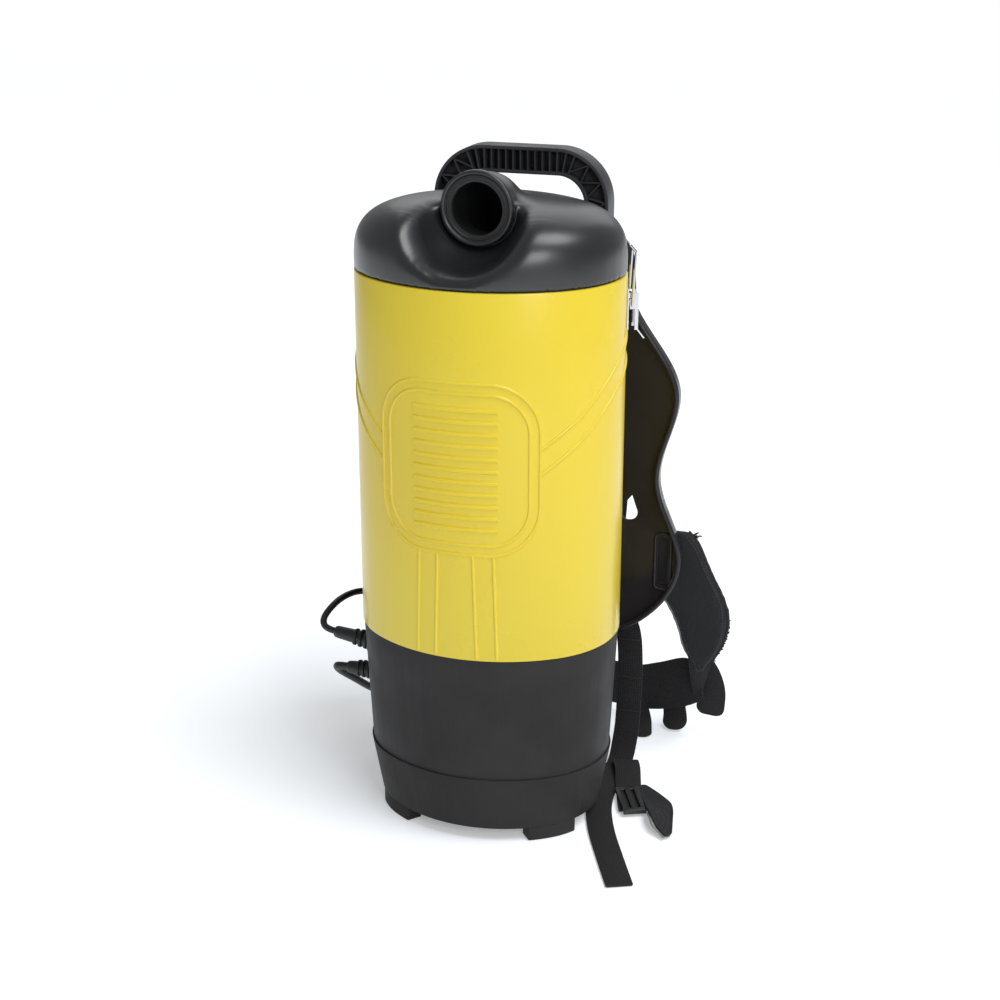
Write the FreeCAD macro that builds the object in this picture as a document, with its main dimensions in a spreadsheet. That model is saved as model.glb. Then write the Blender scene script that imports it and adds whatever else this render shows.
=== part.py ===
import FreeCAD, Part
import Sketcher
import math
import os
from FreeCAD import Placement, Rotation, Vector

doc = FreeCAD.newDocument("BackpackVacuum")
sheet = doc.addObject("Spreadsheet::Sheet", "sizes")
parts = []

# Driving dimensions in millimetres, angles in degrees
SIZES = {
    # Oval body, measured at the canister, and the heights of its stacked shells
    "body_half_width": 120.0, "body_half_depth": 98.5, "body_end_slack": 10.5,
    "foot_height": 13.0, "base_height": 54.0, "housing_height": 120.0,
    "canister_height": 328.0, "dome_height": 61.5, "shell_wall": 3.0,
    "seam_gap": 0.3, "fit_gap": 0.3, "pin_gap": 0.1,
    "base_top_inset": 5.5, "base_foot_inset": 15.0, "housing_top_inset": 1.0,
    "housing_foot_inset": 7.0,
    # Suction port in the lid
    "port_height": 57.0, "port_bore": 24.7, "port_wall": 4.3, "flange_radius": 32.0,
    "flange_depth": 8.0, "port_mouth": 36.6, "port_bend_start": 12.0, "bend_radius": 30.0,
    "scoop_radius": 42.0, "scoop_depth": 26.0, "cuff_recess": 28.3, "cuff_depth": 4.0,
    "elbow_wall": 2.0, "elbow_gap": 0.2, "elbow_drop": 64.0, "gasket_thick": 3.0,
    "gasket_bore": 22.8,
    # Filters and bag
    "rim_ledge_drop": 8.0, "rim_ledge_thick": 4.0, "rim_ledge_wide": 5.0,
    "filter_ring_wide": 10.0, "seal_wide": 7.0, "seal_thick": 4.0,
    "cloth_inset": 9.0, "cloth_thick": 2.0, "cloth_floor": 25.0,
    "bag_inset": 20.0, "bag_thick": 1.2, "bag_floor": 35.0, "collar_half_width": 60.0,
    "collar_half_depth": 44.0, "collar_end_radius": 38.0, "collar_thick": 3.0,
    "collar_drop": 28.0,
    # Deck, housing floor and motor
    "spigot_height": 13.0, "deck_thick": 4.0, "ledge_wide": 7.0,
    "fan_eye_radius": 27.0, "deck_collar_radius": 52.0, "deck_collar_wall": 2.5,
    "prefilter_thick": 10.0, "mount_radius": 48.0, "mount_bore": 36.0, "mount_thick": 9.0,
    "fan_case_radius": 72.0, "fan_case_wall": 2.5, "fan_case_height": 46.0,
    "stator_radius": 46.0, "stator_bore": 27.0, "floor_thick": 3.0, "floor_raise": 5.0,
    "floor_hole_radius": 30.0, "shaft_radius": 4.0, "bearing_radius": 11.0,
    "bearing_thick": 7.0, "armature_radius": 25.5, "armature_length": 20.0,
    "commutator_radius": 12.0, "commutator_length": 12.0, "impeller_radius": 60.0,
    "impeller_height": 18.0, "impeller_skin": 1.5, "brush_side": 7.0, "brush_length": 18.0,
    "holder_wall": 2.0, "exhaust_filter_radius": 45.0, "exhaust_filter_thick": 22.0,
    # Base ring, its grille, feet and screws
    "grille_slot": 6.0, "grille_pitch": 12.0, "grille_reach": 34.0,
    "foot_width": 47.0, "foot_thick": 14.0, "foot_front_facing": 50.0,
    "foot_rear_facing": 65.0, "base_screw_flank": 60.0, "base_screw_side": 26.0, "base_screw_share": 0.72,
    "boss_radius": 6.5, "screw_radius": 2.4, "screw_head_radius": 4.6,
    "screw_head_thick": 2.6, "base_screw_length": 24.0,
    # Draw latches
    "latch_facing": 24.0, "latch_half_width": 8.0, "latch_plate": 1.2,
    "latch_base_top": 498.0, "latch_base_bottom": 462.0, "latch_pin_height": 492.0,
    "latch_pin_out": 6.4, "latch_pin_radius": 1.2, "latch_eye_out": 4.2,
    "latch_eye_drop": 8.0, "latch_lever_length": 38.0, "bail_wire": 2.4,
    "bail_half_width": 9.8, "bail_top": 538.0, "bail_bow": 6.4, "bail_seat": 0.2,
    "rivet_radius": 1.6, "rivet_spacing": 18.0, "notch_half_width": 12.0,
    # Moulded back plate
    "plate_standoff": 9.5, "plate_thick": 3.0, "plate_rim_depth": 8.0, "plate_rim_wall": 3.5,
    "plate_top": 548.0, "plate_crown_half": 50.0, "plate_crown_height": 543.0,
    "plate_shoulder_height": 515.0, "plate_shoulder_half": 86.0,
    "plate_neck_height": 468.0, "plate_neck_half": 103.0,
    "plate_upper_height": 386.0, "plate_upper_half": 148.5,
    "plate_waist_height": 300.0, "plate_waist_half": 132.0,
    "plate_lower_height": 222.0, "plate_lower_half": 155.5,
    "plate_heel_height": 158.0, "plate_heel_half": 119.0, "plate_bottom": 127.0,
    "tear_across": 102.5, "tear_height": 265.0, "tear_radius": 8.5, "tear_rise": 17.0,
    "belt_slot_across": 137.0, "belt_slot_height": 218.0, "belt_slot_width": 9.0,
    "belt_slot_length": 48.0, "spacer_across": 45.0, "spacer_low": 250.0,
    "spacer_high": 410.0, "spacer_radius": 9.0, "screw_tip_gap": 1.0,
    # Carry handle
    "handle_half_width": 82.0, "handle_rise": 107.0, "handle_foot": 500.0,
    "handle_leg": 22.0, "handle_bar": 24.0, "handle_front_share": 0.8, "handle_clearance": 7.2,
    "handle_corner": 48.0, "handle_inner_corner": 25.0, "handle_channel_wall": 3.0,
    "handle_channel_depth": 16.0, "handle_channel_rise": 45.0, "handle_screw_low": 11.0,
    "handle_screw_high": 33.0,
    # Soft harness
    "lumbar_half_width": 88.0, "lumbar_bottom": 224.0, "lumbar_top": 374.0,
    "lumbar_thick": 22.0, "lumbar_corner": 26.0, "lumbar_edge": 8.0,
    "shoulder_across": 56.0, "shoulder_width": 62.0, "shoulder_thick": 12.0,
    "webbing_width": 25.0, "webbing_thick": 2.0, "belt_pad_thick": 10.0,
    "belt_strap_width": 48.0, "belt_strap_thick": 2.4, "belt_left_tuck": 24.0,
    "lock_length": 46.0, "lock_width": 22.0, "lock_thick": 5.0, "lock_bar": 5.0,
    "tab_corner": 5.0, "tab_thick": 4.0,
    "buckle_width": 58.0, "buckle_length": 46.0, "buckle_thick": 13.0, "buckle_wall": 2.5,
    "buckle_height": 31.0, "buckle_standoff": 111.0,
    # Leads, plug and hip switch
    "switch_relief_length": 40.0, "power_relief_length": 29.0, "relief_root_radius": 8.5,
    "relief_tip_radius": 5.2, "relief_flange": 11.0, "relief_flange_thick": 3.0,
    "relief_tilt": 8.0, "switch_lead_height": 146.0, "power_lead_height": 116.0,
    "switch_lead_width": 6.4, "power_lead_width": 7.6,
    "plug_radius": 13.0, "plug_length": 38.0, "blade_length": 17.0,
    "switch_box_width": 34.0, "switch_box_depth": 22.0, "switch_box_height": 58.0,
    "switch_box_corner": 4.0, "rocker_width": 14.0, "rocker_height": 24.0,
    "rocker_proud": 3.0, "rocker_drop": 10.0, "rocker_pocket": 8.0, "rocker_sunk": 5.8,
    "rocker_axis_depth": 3.4, "rocker_pin_radius": 1.5, "rocker_pin_reach": 2.0,
    "switch_box_across": 146.0, "switch_box_middle": 140.0, "switch_box_standoff": 23.6,
    "switch_lead_rise": 16.0,
}


class Size:
    # A length that carries both its number and the sheet formula behind it
    def __init__(self, value, text):
        self.value = value
        self.text = text

    def __float__(self):
        return self.value

    def __add__(self, other):
        return Size(self.value + float(other), "(%s + %s)" % (self.text, formula(other)))

    def __radd__(self, other):
        return self + other

    def __sub__(self, other):
        return Size(self.value - float(other), "(%s - %s)" % (self.text, formula(other)))

    def __rsub__(self, other):
        return Size(float(other) - self.value, "(%s - %s)" % (formula(other), self.text))

    def __mul__(self, other):
        return Size(self.value * float(other), "(%s * %s)" % (self.text, formula(other)))

    def __rmul__(self, other):
        return self * other

    def __truediv__(self, other):
        return Size(self.value / float(other), "(%s / %s)" % (self.text, formula(other)))

    def __neg__(self):
        return Size(-self.value, "(0 - %s)" % self.text)


def formula(value):
    return value.text if isinstance(value, Size) else "%.9g" % value


class Sizes:
    pass


s = Sizes()
for row, (name, value) in enumerate(SIZES.items(), 1):
    sheet.set("A%d" % row, name)
    sheet.set("B%d" % row, "%g" % value)
    sheet.setAlias("B%d" % row, name)
    setattr(s, name, Size(value, "sizes." + name))
doc.recompute()

# Heights and depths where the pieces meet
body_end_radius = s.body_half_depth - s.body_end_slack
base_floor = s.foot_height
housing_floor = base_floor + s.base_height
canister_floor = housing_floor + s.housing_height
rim = canister_floor + s.canister_height
lid_floor = rim + s.seam_gap
port_axis = rim + s.port_height
deck_floor = canister_floor - s.deck_thick
plate_front = s.body_half_depth + s.plate_standoff
plate_back = plate_front + s.plate_thick
handle_front = s.body_half_depth * s.handle_front_share + s.handle_clearance
handle_depth = plate_front - handle_front
plate_screw_length = plate_back - handle_front - s.screw_tip_gap
buckle_middle = plate_back + s.buckle_standoff
switch_box_back = plate_back + s.switch_box_standoff
handle_top = s.handle_foot + s.handle_rise
handle_channel_foot = s.handle_foot + s.handle_channel_rise
sleeve_inner_width = s.body_half_width - s.shell_wall
sleeve_inner_depth = s.body_half_depth - s.shell_wall


# Small helpers for bound primitives
def bind(item, path, value):
    item.setExpression(path, formula(value))


def place(item, x=0.0, y=0.0, z=0.0):
    bind(item, "Placement.Base.x", x)
    bind(item, "Placement.Base.y", y)
    bind(item, "Placement.Base.z", z)
    return item


def block(name, x0, x1, y0, y1, z0, z1):
    item = doc.addObject("Part::Box", name)
    bind(item, "Length", x1 - x0)
    bind(item, "Width", y1 - y0)
    bind(item, "Height", z1 - z0)
    return place(item, x0, y0, z0)


TURNS = {
    "z": Rotation(),
    "y": Rotation(Vector(1, 0, 0), -90),
    "x": Rotation(Vector(0, 1, 0), 90),
}


def rod(name, radius, x, y, z, length, axis="z"):
    item = doc.addObject("Part::Cylinder", name)
    item.Placement = Placement(Vector(), TURNS[axis])
    bind(item, "Radius", radius)
    bind(item, "Height", length)
    return place(item, x, y, z)


def side_radius(half_width, half_depth, end_radius):
    # Radius of the flatter arcs that run smoothly into the two end arcs
    reach = half_width - end_radius
    rise = half_depth - end_radius
    return half_depth + (reach * reach - rise * rise) / (rise * 2)


def oval(name, half_width, half_depth, end_radius, z):
    # Four arcs, alike in pairs, that join where they point the same way
    side = side_radius(half_width, half_depth, end_radius)
    reach = half_width - end_radius
    drop = side - half_depth
    turn = math.atan2(float(drop), float(reach))
    arcs = (((reach, 0), end_radius, -turn, turn), ((0, -drop), side, turn, math.pi - turn),
            ((-reach, 0), end_radius, math.pi - turn, math.pi + turn),
            ((0, drop), side, math.pi + turn, 2 * math.pi - turn))
    sketch = doc.addObject("Sketcher::SketchObject", name)
    for (x, y), radius, start, end in arcs:
        circle = Part.Circle(Vector(float(x), float(y), 0), Vector(0, 0, 1), float(radius))
        sketch.addGeometry(Part.ArcOfCircle(circle, start, end), False)
    first, last, across_axis, up_axis = 1, 2, -1, -2
    sketch.addConstraint([
        Sketcher.Constraint("Tangent", 0, last, 1, first),
        Sketcher.Constraint("Coincident", 1, last, 2, first),
        Sketcher.Constraint("Coincident", 2, last, 3, first),
        Sketcher.Constraint("Coincident", 3, last, 0, first),
        Sketcher.Constraint("Symmetric", 1, last, 1, first, up_axis),
        Sketcher.Constraint("Symmetric", 0, first, 0, last, across_axis),
        Sketcher.Constraint("Symmetric", 2, first, 2, last, across_axis),
        Sketcher.Constraint("Equal", 0, 2),
        Sketcher.Constraint("Equal", 1, 3),
    ])
    driven = (("end_radius", Sketcher.Constraint("Radius", 0, float(end_radius)), end_radius),
              ("side_radius", Sketcher.Constraint("Radius", 1, float(side)), side),
              ("reach", Sketcher.Constraint("DistanceX", -1, 1, 0, 3, float(reach)), reach))
    for label, constraint, size in driven:
        sketch.renameConstraint(sketch.addConstraint(constraint), label)
        bind(sketch, "Constraints." + label, size)
    return place(sketch, 0.0, 0.0, z)


def body_oval(name, inset, z, share=1.0):
    return oval(name, (s.body_half_width - inset) * share, (s.body_half_depth - inset) * share,
                (body_end_radius - inset) * share, z)


def upright(name, outline, height):
    item = doc.addObject("Part::Extrusion", name)
    item.Base = outline
    item.DirMode = "Custom"
    item.Dir = Vector(0, 0, 1)
    item.Solid = True
    bind(item, "LengthFwd", height)
    return item


def body_prism(name, inset, z0, z1):
    return upright(name, body_oval(name + "_base", inset, z0), z1 - z0)


def body_taper(name, foot_inset, top_inset, z0, z1):
    item = doc.addObject("Part::Loft", name)
    item.Sections = [body_oval(name + "_foot", foot_inset, z0),
                     body_oval(name + "_top", top_inset, z1)]
    item.Solid = True
    item.Ruled = True
    return item


def body_ring(name, outer_inset, inner_inset, z0, z1):
    return cut(name, body_prism(name + "_outer", outer_inset, z0, z1),
               body_prism(name + "_inner", inner_inset, z0 - 1, z1 + 1))


def cut(name, base, *tools):
    # A list of tools that don't overlap is taken away in one step
    for number, tool in enumerate(tools, 1):
        item = doc.addObject("Part::Cut", "%s_cut%d" % (name, number))
        item.Base = base
        item.Tool = joined("%s_tools%d" % (name, number), tool) if isinstance(tool, list) else tool
        base = item
    return base


def joined(name, items):
    item = doc.addObject("Part::Compound", name + "_set")
    item.Links = list(items)
    return item


def fuse(name, *items):
    item = doc.addObject("Part::MultiFuse", name + "_fuse")
    item.Shapes = list(items)
    return item


def mirror(name, source):
    item = doc.addObject("Part::Mirroring", name + "_mirror")
    item.Source = source
    item.Base = Vector()
    item.Normal = Vector(1, 0, 0)
    return item


def solid(name, shape):
    item = doc.addObject("Part::Feature", name + "_shape")
    item.Shape = shape
    return item


def group(name, shapes):
    return solid(name, Part.makeCompound(shapes))


def publish(item, label):
    item.Label = label
    parts.append(item)
    return item


def tube(name, outer, inner, z0, z1):
    return cut(name, rod(name + "_outer", outer, 0.0, 0.0, z0, z1 - z0),
               rod(name + "_inner", inner, 0.0, 0.0, z0 - 1, z1 - z0 + 2))


# Routes and bands for cords and webbing
def corner_radius(before, corner, after):
    leg_in = before - corner
    leg_out = after - corner
    half_turn = (math.pi - leg_in.getAngle(leg_out)) / 2
    return 0.45 * min(leg_in.Length, leg_out.Length) / math.tan(half_turn)


def route(points, radius=None):
    spots = [Vector(*point) for point in points]
    edges = []
    start = spots[0]
    radii = []
    for before, corner, after in zip(spots, spots[1:], spots[2:]):
        bend = radius or corner_radius(before, corner, after)
        toward = (before - corner).normalize()
        onward = (after - corner).normalize()
        half = toward.getAngle(onward) / 2
        reach = bend / math.tan(half)
        entry = corner + toward * reach
        leave = corner + onward * reach
        middle = corner + (toward + onward).normalize() * (bend / math.sin(half) - bend)
        edges.append(Part.LineSegment(start, entry).toShape())
        edges.append(Part.Arc(entry, middle, leave).toShape())
        start = leave
        radii.append(bend)
    edges.append(Part.LineSegment(start, spots[-1]).toShape())
    return Part.Wire(edges), radii


def round_tube(points, width, radius=None):
    wire, radii = route(points, radius)
    first = Vector(*points[0])
    heading = Vector(*points[1]) - first
    ring = Part.Wire(Part.makeCircle(width / 2, first, heading))
    shell = wire.makePipeShell([ring], True, False, 0)
    return shell, wire.Length, radii


def band_section(centre, heading, side, wide, thick):
    along = heading.normalize()
    across = (side - along * side.dot(along)).normalize()
    normal = along.cross(across)
    corners = [(-1, -1), (1, -1), (1, 1), (-1, 1), (-1, -1)]
    spots = [centre + across * (wide / 2 * a) + normal * (thick / 2 * b) for a, b in corners]
    return Part.makePolygon(spots)


def band(stations, thick, smooth=False):
    # Each station holds a centre, the direction across the band and its width
    spots = [Vector(*station[0]) for station in stations]
    wires = []
    for index, (_, side, wide) in enumerate(stations):
        before = spots[max(index - 1, 0)]
        after = spots[min(index + 1, len(spots) - 1)]
        wires.append(band_section(spots[index], after - before, Vector(*side), wide, thick))
    return Part.makeLoft(wires, True, not smooth)


def flipped(shape):
    return shape.mirror(Vector(), Vector(1, 0, 0))


# Lid: superellipse dome, scooped at the front round the suction port
DOME_FULLNESS = 3.6
DOME_STEPS = (0.0, 0.3, 0.55, 0.75, 0.88, 0.96, 0.995)


def dome(name, inset):
    item = doc.addObject("Part::Loft", name)
    sections = []
    for number, step in enumerate(DOME_STEPS):
        share = (1 - step ** DOME_FULLNESS) ** (1 / DOME_FULLNESS)
        sections.append(body_oval("%s_%d" % (name, number), inset,
                                  lid_floor + (s.dome_height - inset) * step, share))
    item.Sections = sections
    item.Solid = True
    return item


def elbow_solid(name, radius, mouth, drop):
    # Pipe that enters along +Y and bends down: straight run, quarter ring, drop
    inlet = rod(name + "_inlet", radius, 0.0, -mouth, port_axis, mouth - s.port_bend_start, "y")
    ring = doc.addObject("Part::Torus", name + "_bend")
    ring.Placement = Placement(Vector(), Rotation(Vector(0, 1, 0), -90))
    ring.Angle3 = 90
    bind(ring, "Radius1", s.bend_radius)
    bind(ring, "Radius2", radius)
    place(ring, 0.0, -s.port_bend_start, port_axis - s.bend_radius)
    across = s.bend_radius - s.port_bend_start
    low = port_axis - s.bend_radius - drop
    down = rod(name + "_down", radius, 0.0, across, low, drop)
    return fuse(name, inlet, ring, down)


def make_lid():
    scoop = rod("scoop", s.scoop_radius, 0.0, -s.body_half_depth - 40, port_axis,
                s.body_half_depth + 40 - s.scoop_depth, "y")
    scoop_wall = rod("scoop_wall", s.scoop_radius + s.shell_wall, 0.0, -s.body_half_depth - 40,
                     port_axis, s.body_half_depth + 40 + s.shell_wall - s.scoop_depth, "y")
    cavity = cut("lid_cavity", dome("dome_inside", s.shell_wall), scoop_wall)
    skin = cut("lid_skin", dome("dome_outside", 0.0), scoop)
    hood = elbow_solid("hood", s.port_bore + s.port_wall, s.port_mouth, 1.0)
    flange = rod("flange", s.flange_radius, 0.0, -s.port_mouth, port_axis, s.flange_depth, "y")
    bore = elbow_solid("lid_bore", s.port_bore, s.port_mouth + 1, s.dome_height)
    recess = rod("cuff_recess", s.cuff_recess, 0.0, -s.port_mouth - 1, port_axis,
                 s.cuff_depth + 1, "y")
    shell = fuse("lid_shell", skin, hood, flange)
    notches = [latch_notch(side) for side in SIDES]
    lid = cut("dome_lid", shell, cavity, bore, [recess] + notches)
    publish(lid, "dome_lid")

    radius = s.port_bore - s.elbow_gap
    mouth = s.port_mouth - s.cuff_depth
    outer = elbow_solid("elbow_outer", radius, mouth, s.elbow_drop)
    inner = elbow_solid("elbow_inner", radius - s.elbow_wall, mouth + 1, s.elbow_drop + 1)
    publish(cut("inlet_elbow", outer, inner), "inlet_elbow")

    ring = rod("gasket_ring", s.cuff_recess - s.pin_gap, 0.0, -mouth - s.gasket_thick,
               port_axis, s.gasket_thick, "y")
    hole = rod("gasket_hole", s.gasket_bore, 0.0, -mouth - s.gasket_thick - 1, port_axis,
               s.gasket_thick + 2, "y")
    publish(cut("inlet_gasket", ring, hole), "inlet_gasket")

    inset = s.shell_wall + s.fit_gap
    publish(body_ring("lid_seal", inset, inset + s.seal_wide, rim, rim + s.seal_thick),
            "lid_seal")


def make_filters():
    ring_floor = rim - s.rim_ledge_drop
    outer = s.shell_wall + s.fit_gap
    publish(body_ring("filter_ring", outer, outer + s.filter_ring_wide, ring_floor,
                      rim - s.seam_gap), "filter_ring")

    bag_inset = s.cloth_inset + s.cloth_thick
    cloth_floor = canister_floor + s.cloth_floor
    outside = body_prism("cloth_outside", s.cloth_inset, cloth_floor, ring_floor)
    inside = body_prism("cloth_inside", bag_inset, cloth_floor + s.cloth_thick, ring_floor + 1)
    publish(cut("cloth_filter", outside, inside), "cloth_filter")

    collar_floor = rim - s.collar_drop
    bag_top = collar_floor - s.fit_gap
    bag_floor = canister_floor + s.bag_floor
    across = s.bend_radius - s.port_bend_start
    mouth_radius = s.port_bore - s.elbow_gap + s.fit_gap
    bag = body_prism("bag_outside", s.bag_inset, bag_floor, bag_top)
    hollow = body_prism("bag_hollow", s.bag_inset + s.bag_thick, bag_floor + s.bag_thick,
                        bag_top - s.bag_thick)
    mouth = rod("bag_mouth", mouth_radius, 0.0, across, bag_top - s.bag_thick - 1,
                s.bag_thick + 2)
    publish(cut("filter_bag", bag, hollow, mouth), "filter_bag")

    outline = oval("collar_outline", s.collar_half_width, s.collar_half_depth,
                   s.collar_end_radius, collar_floor)
    card = upright("collar_card", outline, s.collar_thick)
    hole = rod("collar_hole", mouth_radius, 0.0, across, collar_floor - 1, s.collar_thick + 2)
    publish(cut("bag_collar", card, hole), "bag_collar")


def make_canister():
    shell = body_ring("canister_shell", 0.0, s.shell_wall, canister_floor, rim)
    ledge_top = rim - s.rim_ledge_drop
    ledge = body_ring("canister_ledge", s.shell_wall - 1, s.shell_wall + s.rim_ledge_wide,
                      ledge_top - s.rim_ledge_thick, ledge_top)
    sleeve = fuse("canister", shell, ledge)
    holes = [rivet_set("canister_hole_" + side, side, s.pin_gap) for side in SIDES]
    holes += plate_screw_holes("canister")
    publish(cut("canister_sleeve", sleeve, holes), "canister_sleeve")


# Motor housing with the spigot that enters the canister, deck ledge and floor
SCREW_CORNERS = ((1, 1), (-1, 1), (-1, -1), (1, -1))


def base_screw_spots():
    across = s.body_half_width - s.base_screw_flank
    along_body = s.body_half_depth * s.base_screw_share - s.base_screw_side
    return [(across * right, along_body * back) for right, back in SCREW_CORNERS]


def make_housing():
    spigot_inset = s.shell_wall + s.fit_gap
    inner_inset = spigot_inset + s.shell_wall
    wall = cut("housing_wall",
               body_taper("housing_outside", s.housing_foot_inset, s.housing_top_inset,
                          housing_floor, canister_floor),
               body_taper("housing_inside", s.housing_foot_inset + s.shell_wall, inner_inset,
                          housing_floor, canister_floor))
    spigot = body_ring("spigot", spigot_inset, inner_inset, canister_floor,
                       canister_floor + s.spigot_height)
    ledge = body_ring("deck_ledge", inner_inset - 1, inner_inset + s.ledge_wide,
                      deck_floor - s.deck_thick, deck_floor)
    floor_low = housing_floor + s.floor_raise
    floor_inset = s.housing_foot_inset + s.shell_wall - 1
    floor = body_prism("housing_floor", floor_inset, floor_low, floor_low + s.floor_thick)
    boss_low = base_floor + s.floor_thick + s.seam_gap
    bosses = [rod("boss_%d" % n, s.boss_radius, x, y, boss_low, floor_low - boss_low)
              for n, (x, y) in enumerate(base_screw_spots())]
    body = fuse("housing", wall, spigot, ledge, floor, *bosses)
    vent = rod("housing_vent", s.floor_hole_radius, 0.0, 0.0, floor_low - 1, s.floor_thick + 2)
    pilots = [rod("pilot_%d" % n, s.screw_radius + s.pin_gap, x, y, boss_low - 1,
                  s.base_screw_length)
              for n, (x, y) in enumerate(base_screw_spots())]
    exits = [rod("switch_exit", s.relief_tip_radius, -s.body_half_width - 9, 0.0,
                 s.switch_lead_height, 20.0, "x"),
             rod("power_exit", s.relief_tip_radius, -s.body_half_width - 9, 0.0,
                 s.power_lead_height, 20.0, "x")]
    publish(cut("motor_housing", body, [vent] + pilots + exits), "motor_housing")


def make_deck():
    inset = s.shell_wall + s.fit_gap + s.shell_wall + s.fit_gap
    plate = body_prism("deck_plate", inset, deck_floor, canister_floor)
    collar = tube("deck_collar", s.deck_collar_radius, s.deck_collar_radius - s.deck_collar_wall,
                  canister_floor, canister_floor + s.prefilter_thick)
    eye = rod("deck_eye", s.fan_eye_radius, 0.0, 0.0, deck_floor - 1, s.deck_thick + 2)
    bars = [block("deck_bar_%d" % n, -s.fan_eye_radius, s.fan_eye_radius,
                  s.fan_eye_radius * share - 1.5, s.fan_eye_radius * share + 1.5,
                  deck_floor, canister_floor)
            for n, share in enumerate((-0.5, 0.0, 0.5))]
    publish(fuse("motor_deck", cut("deck_open", plate, eye), collar, *bars), "motor_deck")
    publish(rod("motor_prefilter", s.deck_collar_radius - s.deck_collar_wall - s.fit_gap,
                0.0, 0.0, canister_floor, s.prefilter_thick), "motor_prefilter")


def make_motor():
    lower_mount = housing_floor + s.floor_raise + s.floor_thick
    upper_mount = deck_floor - s.mount_thick
    rings = [tube("mount_%d" % n, s.mount_radius, s.mount_bore, low, low + s.mount_thick)
             for n, low in enumerate((lower_mount, upper_mount))]
    mounts = doc.addObject("Part::Compound", "mounts")
    mounts.Links = rings
    publish(mounts, "motor_mounts")

    case_top = upper_mount
    case_low = case_top - s.fan_case_height
    stator_low = lower_mount + s.mount_thick
    wall = s.fan_case_wall
    seat = s.bearing_radius + s.pin_gap
    case_floor = case_low + s.bearing_thick
    case = rod("case_drum", s.fan_case_radius, 0.0, 0.0, case_low, s.fan_case_height)
    hollow = rod("case_hollow", s.fan_case_radius - wall, 0.0, 0.0, case_floor,
                 s.fan_case_height - s.bearing_thick - wall)
    eye = rod("case_eye", s.fan_eye_radius, 0.0, 0.0, case_top - wall - 1, wall + 2)
    bore = rod("case_bore", seat, 0.0, 0.0, case_low - 1, s.bearing_thick + 2)
    publish(cut("fan_case", case, hollow, eye, bore), "fan_case")

    stator_floor = stator_low + s.bearing_thick
    frame = rod("stator_frame", s.stator_radius, 0.0, 0.0, stator_low, case_low - stator_low)
    cave = rod("stator_cave", s.stator_bore, 0.0, 0.0, stator_floor, case_low - stator_floor + 1)
    low_bore = rod("stator_low_bore", seat, 0.0, 0.0, stator_low - 1, s.bearing_thick + 2)
    commutator_low = stator_floor + 4
    brush_height = commutator_low + s.commutator_length / 2
    holder_side = s.brush_side / 2 + s.holder_wall
    tunnel = block("brush_tunnel", -s.stator_radius - 1, s.stator_radius + 1,
                   -holder_side - s.pin_gap, holder_side + s.pin_gap,
                   brush_height - holder_side - s.pin_gap,
                   brush_height + holder_side + s.pin_gap)
    publish(cut("motor_stator", frame, cave, low_bore, tunnel), "motor_stator")

    brush_inner = s.commutator_radius + s.fit_gap
    holder_inner = brush_inner + 4
    holders = []
    brushes = []
    for n, turn in enumerate((0.0, 180.0)):
        case_block = block("holder_block_%d" % n, holder_inner, s.stator_radius, -holder_side,
                           holder_side, brush_height - holder_side, brush_height + holder_side)
        half = s.brush_side / 2 + s.pin_gap
        way = block("holder_way_%d" % n, holder_inner - 1, s.stator_radius - s.holder_wall,
                    -half, half, brush_height - half, brush_height + half)
        holders.append(turned("holder_%d" % n, cut("brush_holder_%d" % n, case_block, way), turn))
        half = s.brush_side / 2
        carbon = block("carbon_%d" % n, brush_inner, brush_inner + s.brush_length, -half, half,
                       brush_height - half, brush_height + half)
        brushes.append(turned("brush_%d" % n, carbon, turn))
    publish(joined("holder_pair", holders), "brush_holders")
    publish(joined("brush_pair", brushes), "carbon_brushes")

    shaft_low = stator_low - 2
    shaft_top = case_top - wall - 4
    publish(rod("motor_shaft", s.shaft_radius, 0.0, 0.0, shaft_low, shaft_top - shaft_low),
            "motor_shaft")
    race = s.shaft_radius + s.pin_gap
    bearings = [tube("bearing_%d" % n, s.bearing_radius, race, low, low + s.bearing_thick)
                for n, low in enumerate((stator_low, case_low))]
    publish(joined("bearings", bearings), "motor_bearings")
    bore_radius = s.shaft_radius + 0.02
    core_low = commutator_low + s.commutator_length
    core = rod("armature_core", s.armature_radius, 0.0, 0.0, core_low, s.armature_length)
    bars = rod("armature_commutator", s.commutator_radius, 0.0, 0.0, commutator_low,
               s.commutator_length)
    bore = rod("armature_bore", bore_radius, 0.0, 0.0, commutator_low - 1,
               s.armature_length + s.commutator_length + 2)
    publish(cut("armature", fuse("armature_stack", core, bars), bore), "armature")
    make_impeller(case_floor + 4, bore_radius)


def turned(name, source, angle):
    item = doc.addObject("Part::Compound", name + "_turned")
    item.Links = [source]
    item.Placement = Placement(Vector(), Rotation(Vector(0, 0, 1), angle))
    return item


def make_impeller(low, bore_radius):
    top = low + s.impeller_height
    skin = s.impeller_skin
    back = rod("impeller_back", s.impeller_radius, 0.0, 0.0, low, skin)
    front = rod("impeller_front", s.impeller_radius, 0.0, 0.0, top - skin, skin)
    eye = rod("impeller_eye", s.fan_eye_radius - 2, 0.0, 0.0, top - skin - 1, skin + 2)
    hub = rod("impeller_hub", s.shaft_radius + 5, 0.0, 0.0, low, s.impeller_height - 4)
    vanes = []
    for n in range(7):
        vane = block("vane_%d" % n, s.impeller_radius * 0.3, s.impeller_radius * 0.96, 14.0,
                     14.0 + skin, low, top)
        vanes.append(turned("vane_%d" % n, vane, n * 360 / 7))
    wheel = fuse("impeller_wheel", back, cut("impeller_cover", front, eye), hub, *vanes)
    bore = rod("impeller_bore", bore_radius, 0.0, 0.0, low - 1, s.impeller_height + 2)
    publish(cut("impeller", wheel, bore), "impeller")


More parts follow.
